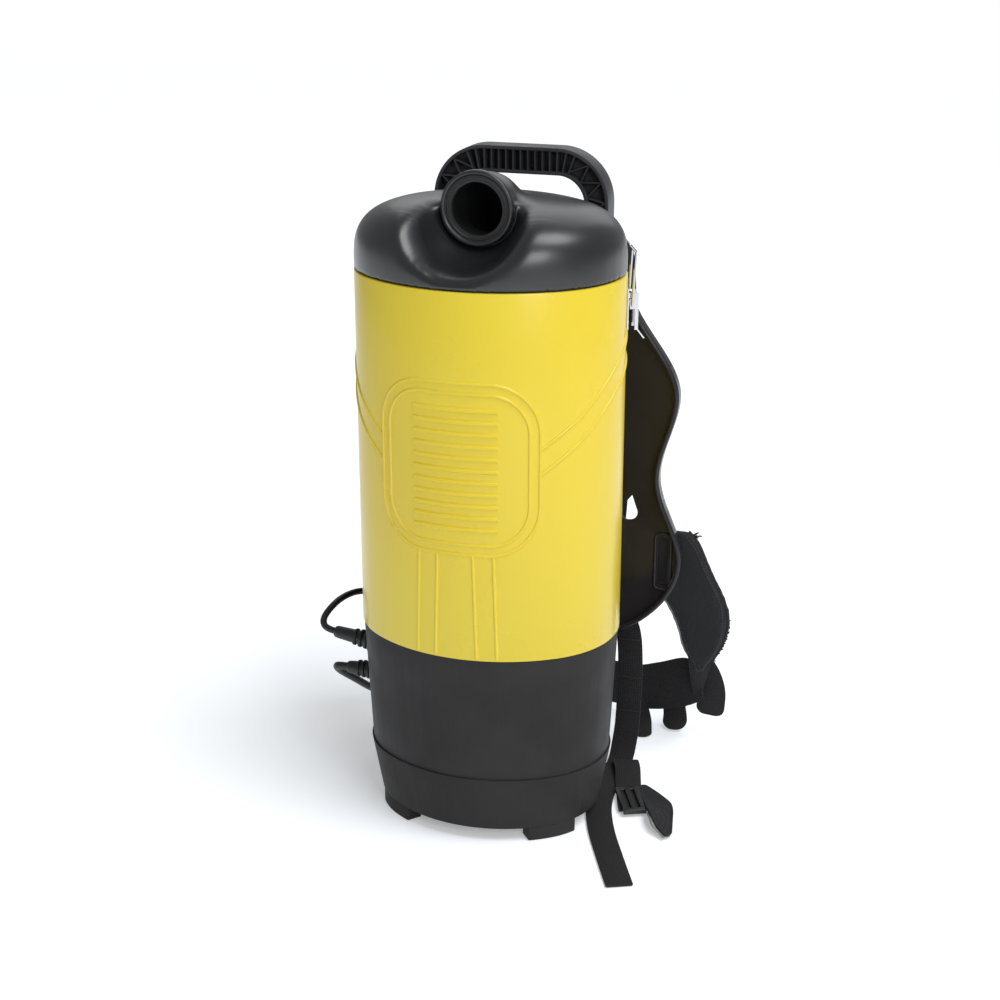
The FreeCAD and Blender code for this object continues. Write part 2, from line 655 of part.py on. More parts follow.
# Base ring with its exhaust grille, feet, screws and exhaust filter
def flank_spot(facing, inset):
    # Point on the inset body oval where its skin faces the given way, in degrees
    end_radius = float(body_end_radius - inset)
    reach = float(s.body_half_width - body_end_radius)
    side = float(side_radius(s.body_half_width, s.body_half_depth, body_end_radius))
    drop = side - float(s.body_half_depth)
    turn = math.radians(float(facing))
    across = math.copysign(1, math.cos(turn))
    along = math.copysign(1, math.sin(turn))
    if abs(math.tan(turn)) < drop / reach:
        return Vector(across * reach + end_radius * math.cos(turn),
                      end_radius * math.sin(turn), 0)
    side -= float(inset)
    return Vector(side * math.cos(turn), side * math.sin(turn) - along * drop, 0)


def moved(name, source, spot, facing):
    item = doc.addObject("Part::Compound", name + "_placed")
    item.Links = [source]
    item.Placement = Placement(spot, Rotation(Vector(0, 0, 1), float(facing)))
    return item


def make_base():
    outside = body_taper("base_outside", s.base_foot_inset, s.base_top_inset, base_floor,
                         housing_floor)
    hollow = body_taper("base_hollow", s.base_foot_inset + s.shell_wall,
                        s.base_top_inset + s.shell_wall, base_floor, housing_floor)
    floor = body_prism("base_floor_plate", s.base_foot_inset + 1, base_floor,
                       base_floor + s.floor_thick)
    ring = fuse("base", cut("base_wall", outside, hollow), floor)
    slots = [block("grille_%d" % n, s.grille_pitch * n - s.grille_slot / 2,
                   s.grille_pitch * n + s.grille_slot / 2, -s.grille_reach, s.grille_reach,
                   base_floor - 1, base_floor + s.floor_thick + 1)
             for n in range(-3, 4)]
    holes = [rod("base_hole_%d" % n, s.screw_radius + s.pin_gap, x, y, base_floor - 1,
                 s.floor_thick + 2)
             for n, (x, y) in enumerate(base_screw_spots())]
    publish(cut("base_ring", ring, slots + holes), "base_ring")

    feet = []
    for n, facing in enumerate((-s.foot_front_facing, s.foot_front_facing - 180,
                                s.foot_rear_facing, 180 - s.foot_rear_facing)):
        pad = block("foot_block_%d" % n, -s.foot_thick - 20, s.foot_thick,
                    -s.foot_width / 2, s.foot_width / 2, 0.0, s.foot_height)
        feet.append(moved("foot_%d" % n, pad, flank_spot(facing, s.base_foot_inset), facing))
    rim_band = body_ring("foot_band", s.base_foot_inset, s.base_foot_inset + s.foot_thick,
                         0.0, s.foot_height)
    shared = doc.addObject("Part::Common", "foot_tabs")
    shared.Base = rim_band
    shared.Tool = joined("foot_blocks", feet)
    publish(shared, "base_feet")

    screws = []
    for n, (x, y) in enumerate(base_screw_spots()):
        shank = rod("base_shank_%d" % n, s.screw_radius, x, y, base_floor, s.base_screw_length)
        head = rod("base_head_%d" % n, s.screw_head_radius, x, y,
                   base_floor - s.screw_head_thick, s.screw_head_thick)
        screws.append(fuse("base_screw_%d" % n, shank, head))
    publish(joined("base_screws", screws), "base_screws")
    publish(rod("exhaust_filter", s.exhaust_filter_radius, 0.0, 0.0,
                base_floor + s.floor_thick, s.exhaust_filter_thick), "exhaust_filter")


# Draw latches, drawn with X outward, Y along the skin and Z up, then set on each flank
SIDES = ("right", "left")


def on_flank(name, source, side):
    item = moved(name + "_" + side, source, flank_spot(s.latch_facing, 0.0), s.latch_facing)
    return mirror(name + "_" + side, item) if side == "left" else item


def rivet_set(name, side, grow):
    reach = s.shell_wall + 1 + 10 * grow
    shanks = [rod("%s_shank_%d" % (name, n), s.rivet_radius + grow, -reach, 0.0,
                  s.latch_base_bottom + 5 + s.rivet_spacing * n,
                  reach + s.fit_gap + s.latch_plate, "x")
              for n in range(2)]
    return on_flank(name, joined(name, shanks), side)


def latch_notch(side):
    # Square groove on its edge, in which the cross bar of the bail rests
    half = s.bail_wire + 0.6
    name = "notch_" + side
    groove = doc.addObject("Part::Box", name)
    groove.Placement = Placement(Vector(), Rotation(Vector(0, 1, 0), 45))
    bind(groove, "Length", half * math.sqrt(2))
    bind(groove, "Height", half * math.sqrt(2))
    bind(groove, "Width", s.notch_half_width * 2)
    place(groove, s.bail_seat + 0.4 - half, -s.notch_half_width, s.bail_top)
    return on_flank(name, groove, side)


def make_latch(side):
    pin = s.latch_pin_out
    high = s.latch_pin_height
    ear_out = s.latch_half_width - 1.5
    face = s.fit_gap + s.latch_plate
    name = "latch_" + side
    plate = block(name + "_plate", s.fit_gap, face, -s.latch_half_width,
                  s.latch_half_width, s.latch_base_bottom, s.latch_base_top)
    ears = []
    for n, edge in enumerate((-ear_out, ear_out - s.latch_plate)):
        ears.append(block("%s_ear_%d" % (name, n), s.fit_gap, pin, edge,
                          edge + s.latch_plate, high - 2, high + 2))
        ears.append(rod("%s_lobe_%d" % (name, n), 2.0, pin, edge, high, s.latch_plate, "y"))
    holes = [rod("%s_base_rivet_%d" % (name, n), s.rivet_radius + s.pin_gap, 0.0, 0.0,
                 s.latch_base_bottom + 5 + s.rivet_spacing * n, face + 1, "x")
             for n in range(2)]
    bore = rod(name + "_ear_bore", s.latch_pin_radius + s.pin_gap, pin,
               -s.latch_half_width - 2, high, s.latch_half_width * 2 + 4, "y")
    base = cut(name + "_base", fuse(name + "_base", plate, *ears), [bore] + holes)
    publish(on_flank(name + "_base", base, side), "latch_base_" + side)

    web_in = pin + 2.4
    web_out = web_in + s.latch_plate
    eye_high = high - s.latch_eye_drop
    tip_high = high - s.latch_lever_length + 8
    cheeks = []
    for n, edge in enumerate((-s.latch_half_width, s.latch_half_width - s.latch_plate)):
        cheeks.append(block("%s_eye_%d" % (name, n), s.latch_eye_out - 1.8, web_out, edge,
                            edge + s.latch_plate, eye_high - 3.5, high - 3))
        cheeks.append(block("%s_cheek_%d" % (name, n), pin - 2.8, web_out, edge,
                            edge + s.latch_plate, high - 3, high + 2.8))
        cheeks.append(block("%s_rail_%d" % (name, n), web_in - 1.8, web_out, edge,
                            edge + s.latch_plate, tip_high, eye_high - 3.5))
    web = block(name + "_web", web_in, web_out, -s.latch_half_width, s.latch_half_width,
                tip_high, high - 2.5)
    tip = doc.addObject("Part::Box", name + "_tip")
    tip.Placement = Placement(Vector(), Rotation(Vector(0, 1, 0), 143))
    bind(tip, "Length", s.latch_plate)
    bind(tip, "Width", s.latch_half_width * 2)
    bind(tip, "Height", 10.0)
    place(tip, web_out, -s.latch_half_width, tip_high + 0.6)
    eye = rod(name + "_eye_bore", s.bail_wire / 2 + s.pin_gap, s.latch_eye_out,
              -s.latch_half_width - 2, eye_high, s.latch_half_width * 2 + 4, "y")
    lever_bore = rod(name + "_lever_bore", s.latch_pin_radius + s.pin_gap, pin,
                     -s.latch_half_width - 2, high, s.latch_half_width * 2 + 4, "y")
    lever = cut(name + "_lever", fuse(name + "_lever", web, tip, *cheeks), [eye, lever_bore])
    publish(on_flank(name + "_lever", lever, side), "latch_lever_" + side)

    wide = float(s.bail_half_width)
    stub = float(s.latch_half_width - s.latch_plate) + 0.2
    seat = float(s.bail_seat)
    bow = float(s.bail_bow)
    low = float(eye_high)
    top = float(s.bail_top)
    out = float(s.latch_eye_out)
    corners = [(out, -stub, low), (out, -wide, low), (bow, -wide, top - 7), (seat, -wide, top),
               (seat, wide, top), (bow, wide, top - 7), (out, wide, low), (out, stub, low)]
    wire = round_tube(corners, float(s.bail_wire), 1.4)[0]
    publish(on_flank(name + "_bail", solid(name + "_bail", wire), side), "latch_bail_" + side)


def make_latches():
    for side in SIDES:
        make_latch(side)
    pins = []
    rivets = []
    for side in SIDES:
        pin = rod("latch_pin_" + side, s.latch_pin_radius, s.latch_pin_out,
                  -s.latch_half_width - 0.5, s.latch_pin_height, s.latch_half_width * 2 + 1, "y")
        pins.append(on_flank("latch_pin", pin, side))
        heads = [rod("rivet_head_%s_%d" % (side, n), s.rivet_radius * 1.9,
                     s.fit_gap + s.latch_plate, 0.0,
                     s.latch_base_bottom + 5 + s.rivet_spacing * n, 1.0, "x")
                 for n in range(2)]
        head_set = on_flank("rivet_head", joined("rivet_heads_" + side, heads), side)
        rivets.append(fuse("rivets_" + side, rivet_set("rivet_" + side, side, 0.0), head_set))
    publish(joined("latch_pins", pins), "latch_pins")
    publish(joined("latch_rivets", rivets), "latch_rivets")


# Moulded back plate, its spacers and screws
def closed_curve(spots):
    curve = Part.BSplineCurve()
    curve.interpolate(spots, PeriodicFlag=True)
    return curve


def plate_outline(inset=0.0):
    half = [(s.plate_crown_half, s.plate_crown_height),
            (s.plate_shoulder_half, s.plate_shoulder_height),
            (s.plate_neck_half, s.plate_neck_height), (s.plate_upper_half, s.plate_upper_height),
            (s.plate_waist_half, s.plate_waist_height),
            (s.plate_lower_half, s.plate_lower_height),
            (s.plate_heel_half, s.plate_heel_height)]
    right = [Vector(float(x), 0, float(z)) for x, z in half]
    left = [Vector(-spot.x, 0, spot.z) for spot in reversed(right)]
    curve = closed_curve(right + [Vector(0, 0, float(s.plate_bottom))] + left
                         + [Vector(0, 0, float(s.plate_top))])
    if inset:
        steps = 4 * (len(right) + 1)
        first, last = curve.FirstParameter, curve.LastParameter
        spots = []
        for n in range(steps):
            share = first + (last - first) * n / steps
            inward = Vector(0, 1, 0).cross(curve.tangent(share)[0])
            spots.append(curve.value(share) + inward * float(inset))
        curve = closed_curve(spots)
    return Part.Wire(curve.toShape())


def screw_spots():
    legs = s.handle_half_width - s.handle_leg / 2
    spots = []
    for side in (1, -1):
        spots += [(s.spacer_across * side, s.spacer_low), (s.spacer_across * side, s.spacer_high)]
        spots += [(legs * side, s.handle_foot + s.handle_screw_low),
                  (legs * side, s.handle_foot + s.handle_screw_high)]
    return spots


def plate_screw_holes(name):
    return [rod("%s_screw_hole_%d" % (name, n), s.screw_radius + s.pin_gap, x,
                plate_back - plate_screw_length - 1, z, plate_screw_length + 2, "y")
            for n, (x, z) in enumerate(screw_spots())]


def make_plate():
    front = float(plate_front)
    depth = float(s.plate_rim_depth)
    back = float(plate_back)
    slab = Part.Face(plate_outline()).extrude(Vector(0, back - front + depth, 0))
    recess = Part.Face(plate_outline(s.plate_rim_wall)).extrude(Vector(0, depth, 0))
    shell = slab.cut(recess)
    shell.translate(Vector(0, front - depth, 0))
    tray = solid("plate_tray", shell.Solids[0])

    openings = plate_screw_holes("plate")
    passes = []
    for side in (1, -1):
        tag = "r" if side == 1 else "l"
        slot_x = s.belt_slot_across * side
        openings.append(block("belt_slot_" + tag, slot_x - s.belt_slot_width / 2,
                              slot_x + s.belt_slot_width / 2, plate_front - 1, plate_back + 1,
                              s.belt_slot_height - s.belt_slot_length / 2,
                              s.belt_slot_height + s.belt_slot_length / 2))
        tear_x = s.tear_across * side
        openings.append(rod("tear_" + tag, s.tear_radius, tear_x, plate_front - 1,
                            s.tear_height, s.plate_thick + 2, "y"))
        radius = float(s.tear_radius) * 0.92
        x, z = float(tear_x), float(s.tear_height)
        peak = Vector(x + 3.0 * side, front - 1, z + float(s.tear_rise))
        corners = [Vector(x - radius, front - 1, z + 3), Vector(x + radius, front - 1, z + 3), peak]
        spike = Part.Face(Part.makePolygon(corners + corners[:1]))
        passes.append(solid("tear_spike_" + tag, spike.extrude(Vector(0, back - front + 2, 0))))
        leg_in = (s.handle_half_width - s.handle_leg) * side - s.fit_gap * side
        leg_out = (s.handle_half_width + s.fit_gap) * side
        low, high = (leg_in, leg_out) if side == 1 else (leg_out, leg_in)
        passes.append(block("leg_pass_" + tag, low, high, handle_front - 1, plate_front,
                            s.handle_foot - s.fit_gap, handle_top + 1))
    publish(cut("backplate", tray, openings, passes), "backplate")

    body_cut = body_prism("spacer_seat", -s.fit_gap, canister_floor, rim)
    spacers = []
    for n, (x, z) in enumerate(screw_spots()):
        if n % 4 > 1:
            continue
        post = rod("spacer_post_%d" % n, s.spacer_radius, x, s.body_half_depth * 0.8, z,
                   plate_front - s.body_half_depth * 0.8, "y")
        bore = rod("spacer_bore_%d" % n, s.screw_radius + s.pin_gap, x,
                   s.body_half_depth * 0.8 - 1, z, plate_front, "y")
        spacers.append(cut("spacer_%d" % n, post, body_cut, bore))
    publish(joined("plate_spacers", spacers), "plate_spacers")

    screws = []
    for n, (x, z) in enumerate(screw_spots()):
        shank = rod("plate_shank_%d" % n, s.screw_radius, x, plate_back - plate_screw_length,
                    z, plate_screw_length, "y")
        head = rod("plate_head_%d" % n, s.screw_head_radius, x, plate_back, z,
                   s.screw_head_thick, "y")
        screws.append(fuse("plate_screw_%d" % n, shank, head))
    publish(joined("plate_screws", screws), "plate_screws")


# Carry handle: an arch with a channel open to the front
def round_edges(name, base, radius, wanted):
    doc.recompute()
    item = doc.addObject("Part::Fillet", name)
    item.Base = base
    size = float(radius)
    item.Edges = [(n, size, size) for n, edge in enumerate(base.Shape.Edges, 1) if wanted(edge)]
    return item


def along(edge, axis):
    start, end = edge.Vertexes[0].Point, edge.Vertexes[-1].Point
    return abs(abs((end - start).normalize().dot(axis)) - 1) < 1e-6


def arch(name, half_width, top, corner, foot, front, depth):
    slab = block(name + "_slab", -half_width, half_width, front, front + depth, foot, top)
    peak = float(top) - 0.01
    return round_edges(name, slab, corner,
                       lambda edge: along(edge, Vector(0, 1, 0)) and edge.Vertexes[0].Z > peak)


def make_handle():
    wall = s.handle_channel_wall
    outer = arch("handle_outer", s.handle_half_width, handle_top, s.handle_corner,
                 s.handle_foot, handle_front, handle_depth)
    inner = arch("handle_inner", s.handle_half_width - s.handle_leg,
                 handle_top - s.handle_bar, s.handle_inner_corner, s.handle_foot - 1,
                 handle_front - 1, handle_depth + 2)
    channel_outer = arch("channel_outer", s.handle_half_width - wall, handle_top - wall,
                         s.handle_corner - wall, handle_channel_foot, handle_front - 1,
                         s.handle_channel_depth + 1)
    channel_inner = arch("channel_inner", s.handle_half_width - s.handle_leg + wall,
                         handle_top - s.handle_bar + wall, s.handle_inner_corner + wall,
                         handle_channel_foot - 1, handle_front - 2,
                         s.handle_channel_depth + 3)
    channel = cut("handle_channel", channel_outer, channel_inner)
    publish(cut("carry_handle", outer, inner, channel, plate_screw_holes("handle")),
            "carry_handle")


# Padded and woven harness
def make_lumbar():
    slab = block("lumbar_slab", -s.lumbar_half_width, s.lumbar_half_width,
                 plate_back + s.screw_head_thick + s.fit_gap,
                 plate_back + s.screw_head_thick + s.fit_gap + s.lumbar_thick,
                 s.lumbar_bottom, s.lumbar_top)
    rounded = round_edges("lumbar_corners", slab, s.lumbar_corner,
                          lambda edge: along(edge, Vector(0, 1, 0)))
    back = float(plate_back + s.screw_head_thick + s.fit_gap + s.lumbar_thick) - 0.01
    soft = round_edges("lumbar_soft", rounded, s.lumbar_edge,
                       lambda edge: min(v.Y for v in edge.Vertexes) > back)
    publish(soft, "lumbar_pad")


# Shoulder pads hang behind the plate, given as side-on centres for the right one
SHOULDER_ROUTE = ((470, 6.3), (498, 8.6), (513, 22), (508, 42), (484, 57), (440, 64), (380, 65),
                  (320, 60), (262, 49), (215, 35))


def make_shoulder_pads():
    back = float(plate_back)
    stations = [((float(s.shoulder_across), y + back, z), (1, 0, 0), float(s.shoulder_width))
                for z, y in SHOULDER_ROUTE]
    right = band(stations, float(s.shoulder_thick), smooth=True)
    publish(solid("shoulder_right", right), "shoulder_pad_right")
    publish(solid("shoulder_left", flipped(right)), "shoulder_pad_left")


# Adjuster webbing: down from the pads, past the foot of the plate, then along the floor.
# On the right a second fold of it lies under the ladder lock
WEBBING_FALL = ((56, 34.9, 214.7), (56, 32.5, 206.6), (69, 28, 186), (80, 20, 166), (94, 8, 155),
                (104, 2.5, 138), (107, 1, 110), (107, 0, 75))
WEBBING_RIGHT_TAIL = ((106, -1, 42), (104, -4, 20), (103, -11, 8), (102, -21, 2.2),
                      (101, -33, 1.4), (100, -66, 1.4), (105, -103, 1.4), (118, -143, 1.4),
                      (137, -186, 1.4), (158, -231, 1.4))
WEBBING_LEFT_TAIL = ((106, 2, 42), (104, 6, 18), (100, 13, 6), (93, 22, 1.4), (82, 29, 1.4),
                     (54, 31, 1.4))
WEBBING_LOOP = ((104, -23, 1.6), (112, -45, 1.4), (123, -71, 1.4), (131, -101, 1.4))
FLOOR_BEND = 10


def behind(x, y, z=0.0):
    # Harness places are measured from the plate's back face
    return x, y + float(plate_back), z


def webbing(spots):
    # Hanging, the band faces the back. Along the floor it lies flat, square to its run
    wide = float(s.webbing_width)
    stations = []
    spots = [behind(*spot) for spot in spots]
    for n, spot in enumerate(spots):
        side = Vector(1, 0, 0)
        if spot[2] < FLOOR_BEND:
            before = spots[max(n - 1, 0)]
            after = spots[min(n + 1, len(spots) - 1)]
            run = Vector(*after) - Vector(*before)
            side = Vector(run.y, -run.x, 0).normalize()
            if side.x < 0:
                side = -side
        stations.append((spot, tuple(side), wide))
    return band(stations, float(s.webbing_thick))


def make_webbing():
    right = webbing(WEBBING_FALL + WEBBING_RIGHT_TAIL).fuse(webbing(WEBBING_LOOP)).Solids[0]
    left = flipped(webbing(WEBBING_FALL + WEBBING_LEFT_TAIL))
    for label, strap in (("webbing_right", right), ("webbing_left", left)):
        publish(solid(label, strap), label)


def ladder_lock(spot, facing):
    length, width = float(s.lock_length), float(s.lock_width)
    thick, bar = float(s.lock_thick), float(s.lock_bar)
    frame = Part.makeBox(length, width, thick, Vector(-length / 2, -width / 2, -thick / 2))
    gap = (width - 3 * bar) / 2
    for low in (-width / 2 + bar, bar / 2):
        frame = frame.cut(Part.makeBox(length - 2 * bar, gap, thick + 2,
                                       Vector(-length / 2 + bar, low, -thick / 2 - 1)))
    frame.Placement = Placement(Vector(*behind(*spot)), Rotation(Vector(0, 0, 1), facing))
    return frame


LOCK_RIGHT = ((132, -87, 5.3), -65)
LOCK_LEFT = ((-64, 30.5, 5.3), 90)
TAB_RIGHT = ((131.8, -59.8), (137, -52), (153, -64.4), (168.9, -79.3), (173.5, -92),
             (181.8, -134.2), (178, -141.5), (165, -130.5), (156.2, -112))
TAB_LEFT = ((-52.6, 10), (-52.6, 51), (-24, 49), (-12, 39), (-12, 22), (-24, 12))
TAB_LOW = 1.2


def make_adjusters():
    publish(solid("lock_right", ladder_lock(*LOCK_RIGHT)), "ladder_lock_right")
    publish(solid("lock_left", ladder_lock(*LOCK_LEFT)), "ladder_lock_left")
    for label, outline in (("strap_tab_right", TAB_RIGHT), ("strap_tab_left", TAB_LEFT)):
        corners = [Vector(*behind(x, y, TAB_LOW)) for x, y in outline]
        flat = Part.Face(Part.makePolygon(corners + corners[:1]))
        slab = solid(label + "_slab", flat.extrude(Vector(0, 0, float(s.tab_thick))))
        publish(round_edges(label, slab, s.tab_corner,
                            lambda edge: along(edge, Vector(0, 0, 1))), label)


# Waist belt: leaf-shaped pads hanging behind the plate, then straps to the buckle.
# Each level holds the height, the pad's two edges and how far back it hangs
BELT_LEVELS = ((250, 126, 160, 6.4), (232, 118, 174, 7.4), (205, 118, 184, 15),
               (178, 124, 194, 25), (157, 134, 198, 34), (127, 143, 195, 45), (100, 150, 184, 54),
               (78, 156, 171, 62))
BELT_STRAP = ((168, 69, 84, 30), (152, 76, 66, 40), (126, 89, 46, 48), (95, 100, 34, 48),
              (62, 110.5, 31, 48), (31, 111, 31, 48))


def pad_level(height, left, right, back, thick):
    half = thick / 2
    bend = half * math.sqrt(0.5)
    a, b = left + half, right - half
    front, rear = back - half, back + half
    spots = {"af": (a, front), "bf": (b, front), "b1": (b + bend, back - bend), "bm": (right, back),
             "b2": (b + bend, back + bend), "br": (b, rear), "ar": (a, rear),
             "a2": (a - bend, back + bend), "am": (left, back), "a1": (a - bend, back - bend)}
    at = {key: Vector(x, y, height) for key, (x, y) in spots.items()}
    edges = [Part.LineSegment(at["af"], at["bf"]).toShape(),
             Part.Arc(at["bf"], at["b1"], at["bm"]).toShape(),
             Part.Arc(at["bm"], at["b2"], at["br"]).toShape(),
             Part.LineSegment(at["br"], at["ar"]).toShape(),
             Part.Arc(at["ar"], at["a2"], at["am"]).toShape(),
             Part.Arc(at["am"], at["a1"], at["af"]).toShape()]
    return Part.Wire(edges)


def make_belt():
    thick = float(s.belt_pad_thick)
    tuck = float(s.belt_left_tuck)
    for label, shift in (("belt_pad_right", 0.0), ("belt_pad_left", tuck)):
        levels = []
        for height, left, right, back in BELT_LEVELS:
            share = shift * min(1.0, (BELT_LEVELS[0][0] - height) / 45)
            levels.append(pad_level(height, left - share, right - share,
                                    back + float(plate_back), thick))
        pad = Part.makeLoft(levels, True, False)
        if shift:
            pad = flipped(pad)
        publish(solid(label, pad), label)
    for label, shift in (("belt_strap_right", 0.0), ("belt_strap_left", tuck)):
        stations = []
        end = float(s.buckle_length) / 2 + 0.3
        for x, y, z, wide in BELT_STRAP[:-1]:
            share = shift * x / BELT_STRAP[0][0]
            stations.append((behind(x - share, y, z), (0.1, 0, 1), wide))
        for x in (end + 12, end):
            stations.append(((x, float(buckle_middle), float(s.buckle_height)), (0, 0, 1),
                             float(s.belt_strap_width)))
        strap = band(stations, float(s.belt_strap_thick))
        if shift:
            strap = flipped(strap)
        publish(solid(label, strap), label)
    make_buckle()


def make_buckle():
    half_length = s.buckle_length / 2
    half_wide = s.buckle_width / 2
    half_thick = s.buckle_thick / 2
    low = s.buckle_height - half_wide
    high = s.buckle_height + half_wide
    front = buckle_middle - half_thick
    rear = buckle_middle + half_thick
    wall = s.buckle_wall
    case = block("socket_case", s.seam_gap, half_length, front, rear, low, high)
    cave = block("socket_cave", -1.0, half_length - wall, front + wall, rear - wall, low + wall,
                 high - wall)
    window = block("socket_window", half_length * 0.45, half_length * 0.8, front + wall,
                   rear - wall, low - 1, high + 1)
    publish(cut("socket", case, cave, window), "buckle_socket")
    bar = block("insert_bar", -half_length, 0.0, front, rear, low, high)
    prongs = []
    slim = wall + 0.6
    for n, (start, end) in enumerate(((-1.0, -0.72), (-0.14, 0.14), (0.72, 1.0))):
        reach = half_wide - slim
        prongs.append(block("prong_%d" % n, -1.0, half_length * 0.78, front + slim, rear - slim,
                            s.buckle_height + reach * start, s.buckle_height + reach * end))
    publish(fuse("insert", bar, *prongs), "buckle_insert")


# Strain reliefs on the left flank, leads, plug and the hip switch
def housing_half_width(height):
    rise = (canister_floor - height) / s.housing_height
    spread = s.housing_foot_inset - s.housing_top_inset
    return s.body_half_width - s.housing_top_inset - spread * rise


def relief_root(height):
    # The flared flank stands out furthest at the top of the flange
    return housing_half_width(height + s.relief_flange) + s.fit_gap


def relief_tip(height, tilt, length, beyond=0.0):
    reach = float(length) + beyond
    turn = math.radians(float(tilt))
    return Vector(-float(relief_root(height)) - reach * math.cos(turn), 0,
                  float(height) + reach * math.sin(turn))


def make_relief(label, height, tilt, length):
    root = relief_root(height)
    facing = Rotation(Vector(0, 1, 0), -90 + float(tilt))
    cone = doc.addObject("Part::Cone", label + "_cone")
    cone.Placement = Placement(Vector(), facing)
    bind(cone, "Radius1", s.relief_root_radius)
    bind(cone, "Radius2", s.relief_tip_radius)
    bind(cone, "Height", length)
    place(cone, -root, 0.0, height)
    flange = rod(label + "_flange", s.relief_flange, -root - s.relief_flange_thick, 0.0, height,
                 s.relief_flange_thick + 2, "x")
    # The flank's end arc, which the flange sits against
    bend = body_end_radius - (s.body_half_width - root)
    skin = rod(label + "_skin", bend, bend - root, 0.0, height - 20, 40.0)
    stub = rod(label + "_stub", s.relief_tip_radius - s.pin_gap, -root - 1, 0.0, height, 9.0, "x")
    outside = cut(label + "_outside", fuse(label + "_body", cone, flange), skin)
    publish(fuse(label, outside, stub), label)


# Each lead leaves its relief straight, folds back and runs behind the body
SWITCH_LEAD = ((-172.5, 6, 159), (-170, 18, 166), (-166, 40, 170), (-158, 66, 168),
               (-146, 93, 156))
POWER_LEAD = ((-160, 7, 110.5), (-159.5, 19, 100.5), (-156, 41, 84), (-151.5, 69, 62),
              (-145, 99, 41), (-134.5, 129, 21), (-119, 157, 8), (-94, 178, 4.5),
              (-62, 189, 4.4), (-28, 190, 4.4), (3, 178, 6.5))
PLUG_SPOT = (26, 154, 13.8)
FIRST_RUN = 10.0


def make_leads():
    reliefs = (("strain_relief_switch", s.switch_lead_height, s.relief_tilt,
                s.switch_relief_length),
               ("strain_relief_power", s.power_lead_height, 0.0, s.power_relief_length))
    starts = []
    for label, height, tilt, length in reliefs:
        make_relief(label, height, tilt, length)
        starts.append([tuple(relief_tip(height, tilt, length)),
                       tuple(relief_tip(height, tilt, length, FIRST_RUN))])
    entry = (-float(s.switch_box_across), float(switch_box_back - s.switch_box_depth),
             float(s.switch_box_middle + s.switch_lead_rise))
    switch = starts[0] + list(SWITCH_LEAD) + [entry]
    power = starts[1] + list(POWER_LEAD) + [PLUG_SPOT]
    for label, points, width in (("switch_cord", switch, s.switch_lead_width),
                                 ("power_cord", power, s.power_lead_width)):
        shell, length, radii = round_tube(points, float(width))
        section = math.pi * float(width) ** 2 / 4
        print("%s length %.1f volume share %.4f radii %s" % (
            label, length, shell.Volume / (section * length), ["%.0f" % r for r in radii]))
        publish(solid(label, shell), label)
    make_plug(Vector(*POWER_LEAD[-1]), Vector(*PLUG_SPOT))


def make_plug(before, start):
    heading = (start - before).normalize()
    radius = float(s.plug_radius)
    length = float(s.plug_length)
    body = Part.makeCone(radius * 0.55, radius, length * 0.45, start, heading)
    body = body.fuse(Part.makeCylinder(radius, length * 0.55, start + heading * length * 0.45,
                                       heading))
    publish(solid("plug_body", body.removeSplitter()), "plug_body")
    face = start + heading * length
    side = heading.cross(Vector(0, 0, 1)).normalize()
    up = heading.cross(side)
    spin = Rotation(side, up, heading, "XYZ")
    reach = float(s.blade_length)
    pins = []
    for across in (-1, 1):
        blade = Part.makeBox(1.5, 6.3, reach, Vector(-0.75 + across * 6.35, -3.15 + 3.0, 0))
        pins.append(blade)
    pins.append(Part.makeCylinder(2.4, reach + 3, Vector(0, -6.5, 0)))
    pins = [pin.transformGeometry(Placement(face, spin).toMatrix()) for pin in pins]
    publish(group("plug_pins", pins), "plug_pins")


def make_switch():
    back = switch_box_back
    front = back - s.switch_box_depth
    half = s.switch_box_width / 2
    tall = s.switch_box_height / 2
    slab = block("switch_slab", -s.switch_box_across - half, half - s.switch_box_across, front,
                 back, s.switch_box_middle - tall, s.switch_box_middle + tall)
    case = round_edges("switch_case", slab, s.switch_box_corner,
                       lambda edge: along(edge, Vector(0, 1, 0)))
    middle = s.switch_box_middle - s.rocker_drop
    wide = s.rocker_width / 2
    high = s.rocker_height / 2
    pocket = block("rocker_pocket", -s.switch_box_across - wide - s.fit_gap,
                   wide + s.fit_gap - s.switch_box_across, front - 1, front + s.rocker_pocket,
                   middle - high - 1, middle + high + 1)
    # The rocker tilts on pins that stand out of its sides into the case
    axis = front + s.rocker_axis_depth
    length = s.rocker_width + s.rocker_pin_reach * 2
    low = -s.switch_box_across - length / 2
    hole = rod("rocker_hole", s.rocker_pin_radius + s.pin_gap, low - s.fit_gap, axis, middle,
               length + s.fit_gap * 2, "x")
    publish(cut("switch_box", case, fuse("rocker_room", pocket, hole)), "switch_box")
    paddle = block("rocker_paddle", -s.switch_box_across - wide, wide - s.switch_box_across,
                   front - s.rocker_proud, front + s.rocker_sunk, middle - high, middle + high)
    pin = rod("rocker_pin", s.rocker_pin_radius, low, axis, middle, length, "x")
    publish(fuse("rocker_switch", paddle, pin), "rocker_switch")


make_lid()
make_filters()
make_canister()
make_deck()
make_housing()
make_motor()
make_base()
make_latches()
make_plate()
make_handle()
make_lumbar()
make_shoulder_pads()
make_webbing()
make_adjusters()
make_belt()
make_leads()
make_switch()
doc.recompute()

# Every object and every piece has to be sound before anything is written
for item in doc.Objects:
    if "Invalid" in item.State or "Error" in item.State:
        raise RuntimeError("failed object " + item.Name)
os.makedirs("parts", exist_ok=True)
for item in parts:
    shape = item.Shape
    if shape.isNull() or not shape.isValid() or shape.Volume <= 0:
        raise RuntimeError("unsound piece " + item.Label)
    shape.exportStep("parts/%s.step" % item.Label)
print("%d pieces written" % len(parts))
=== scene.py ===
import math

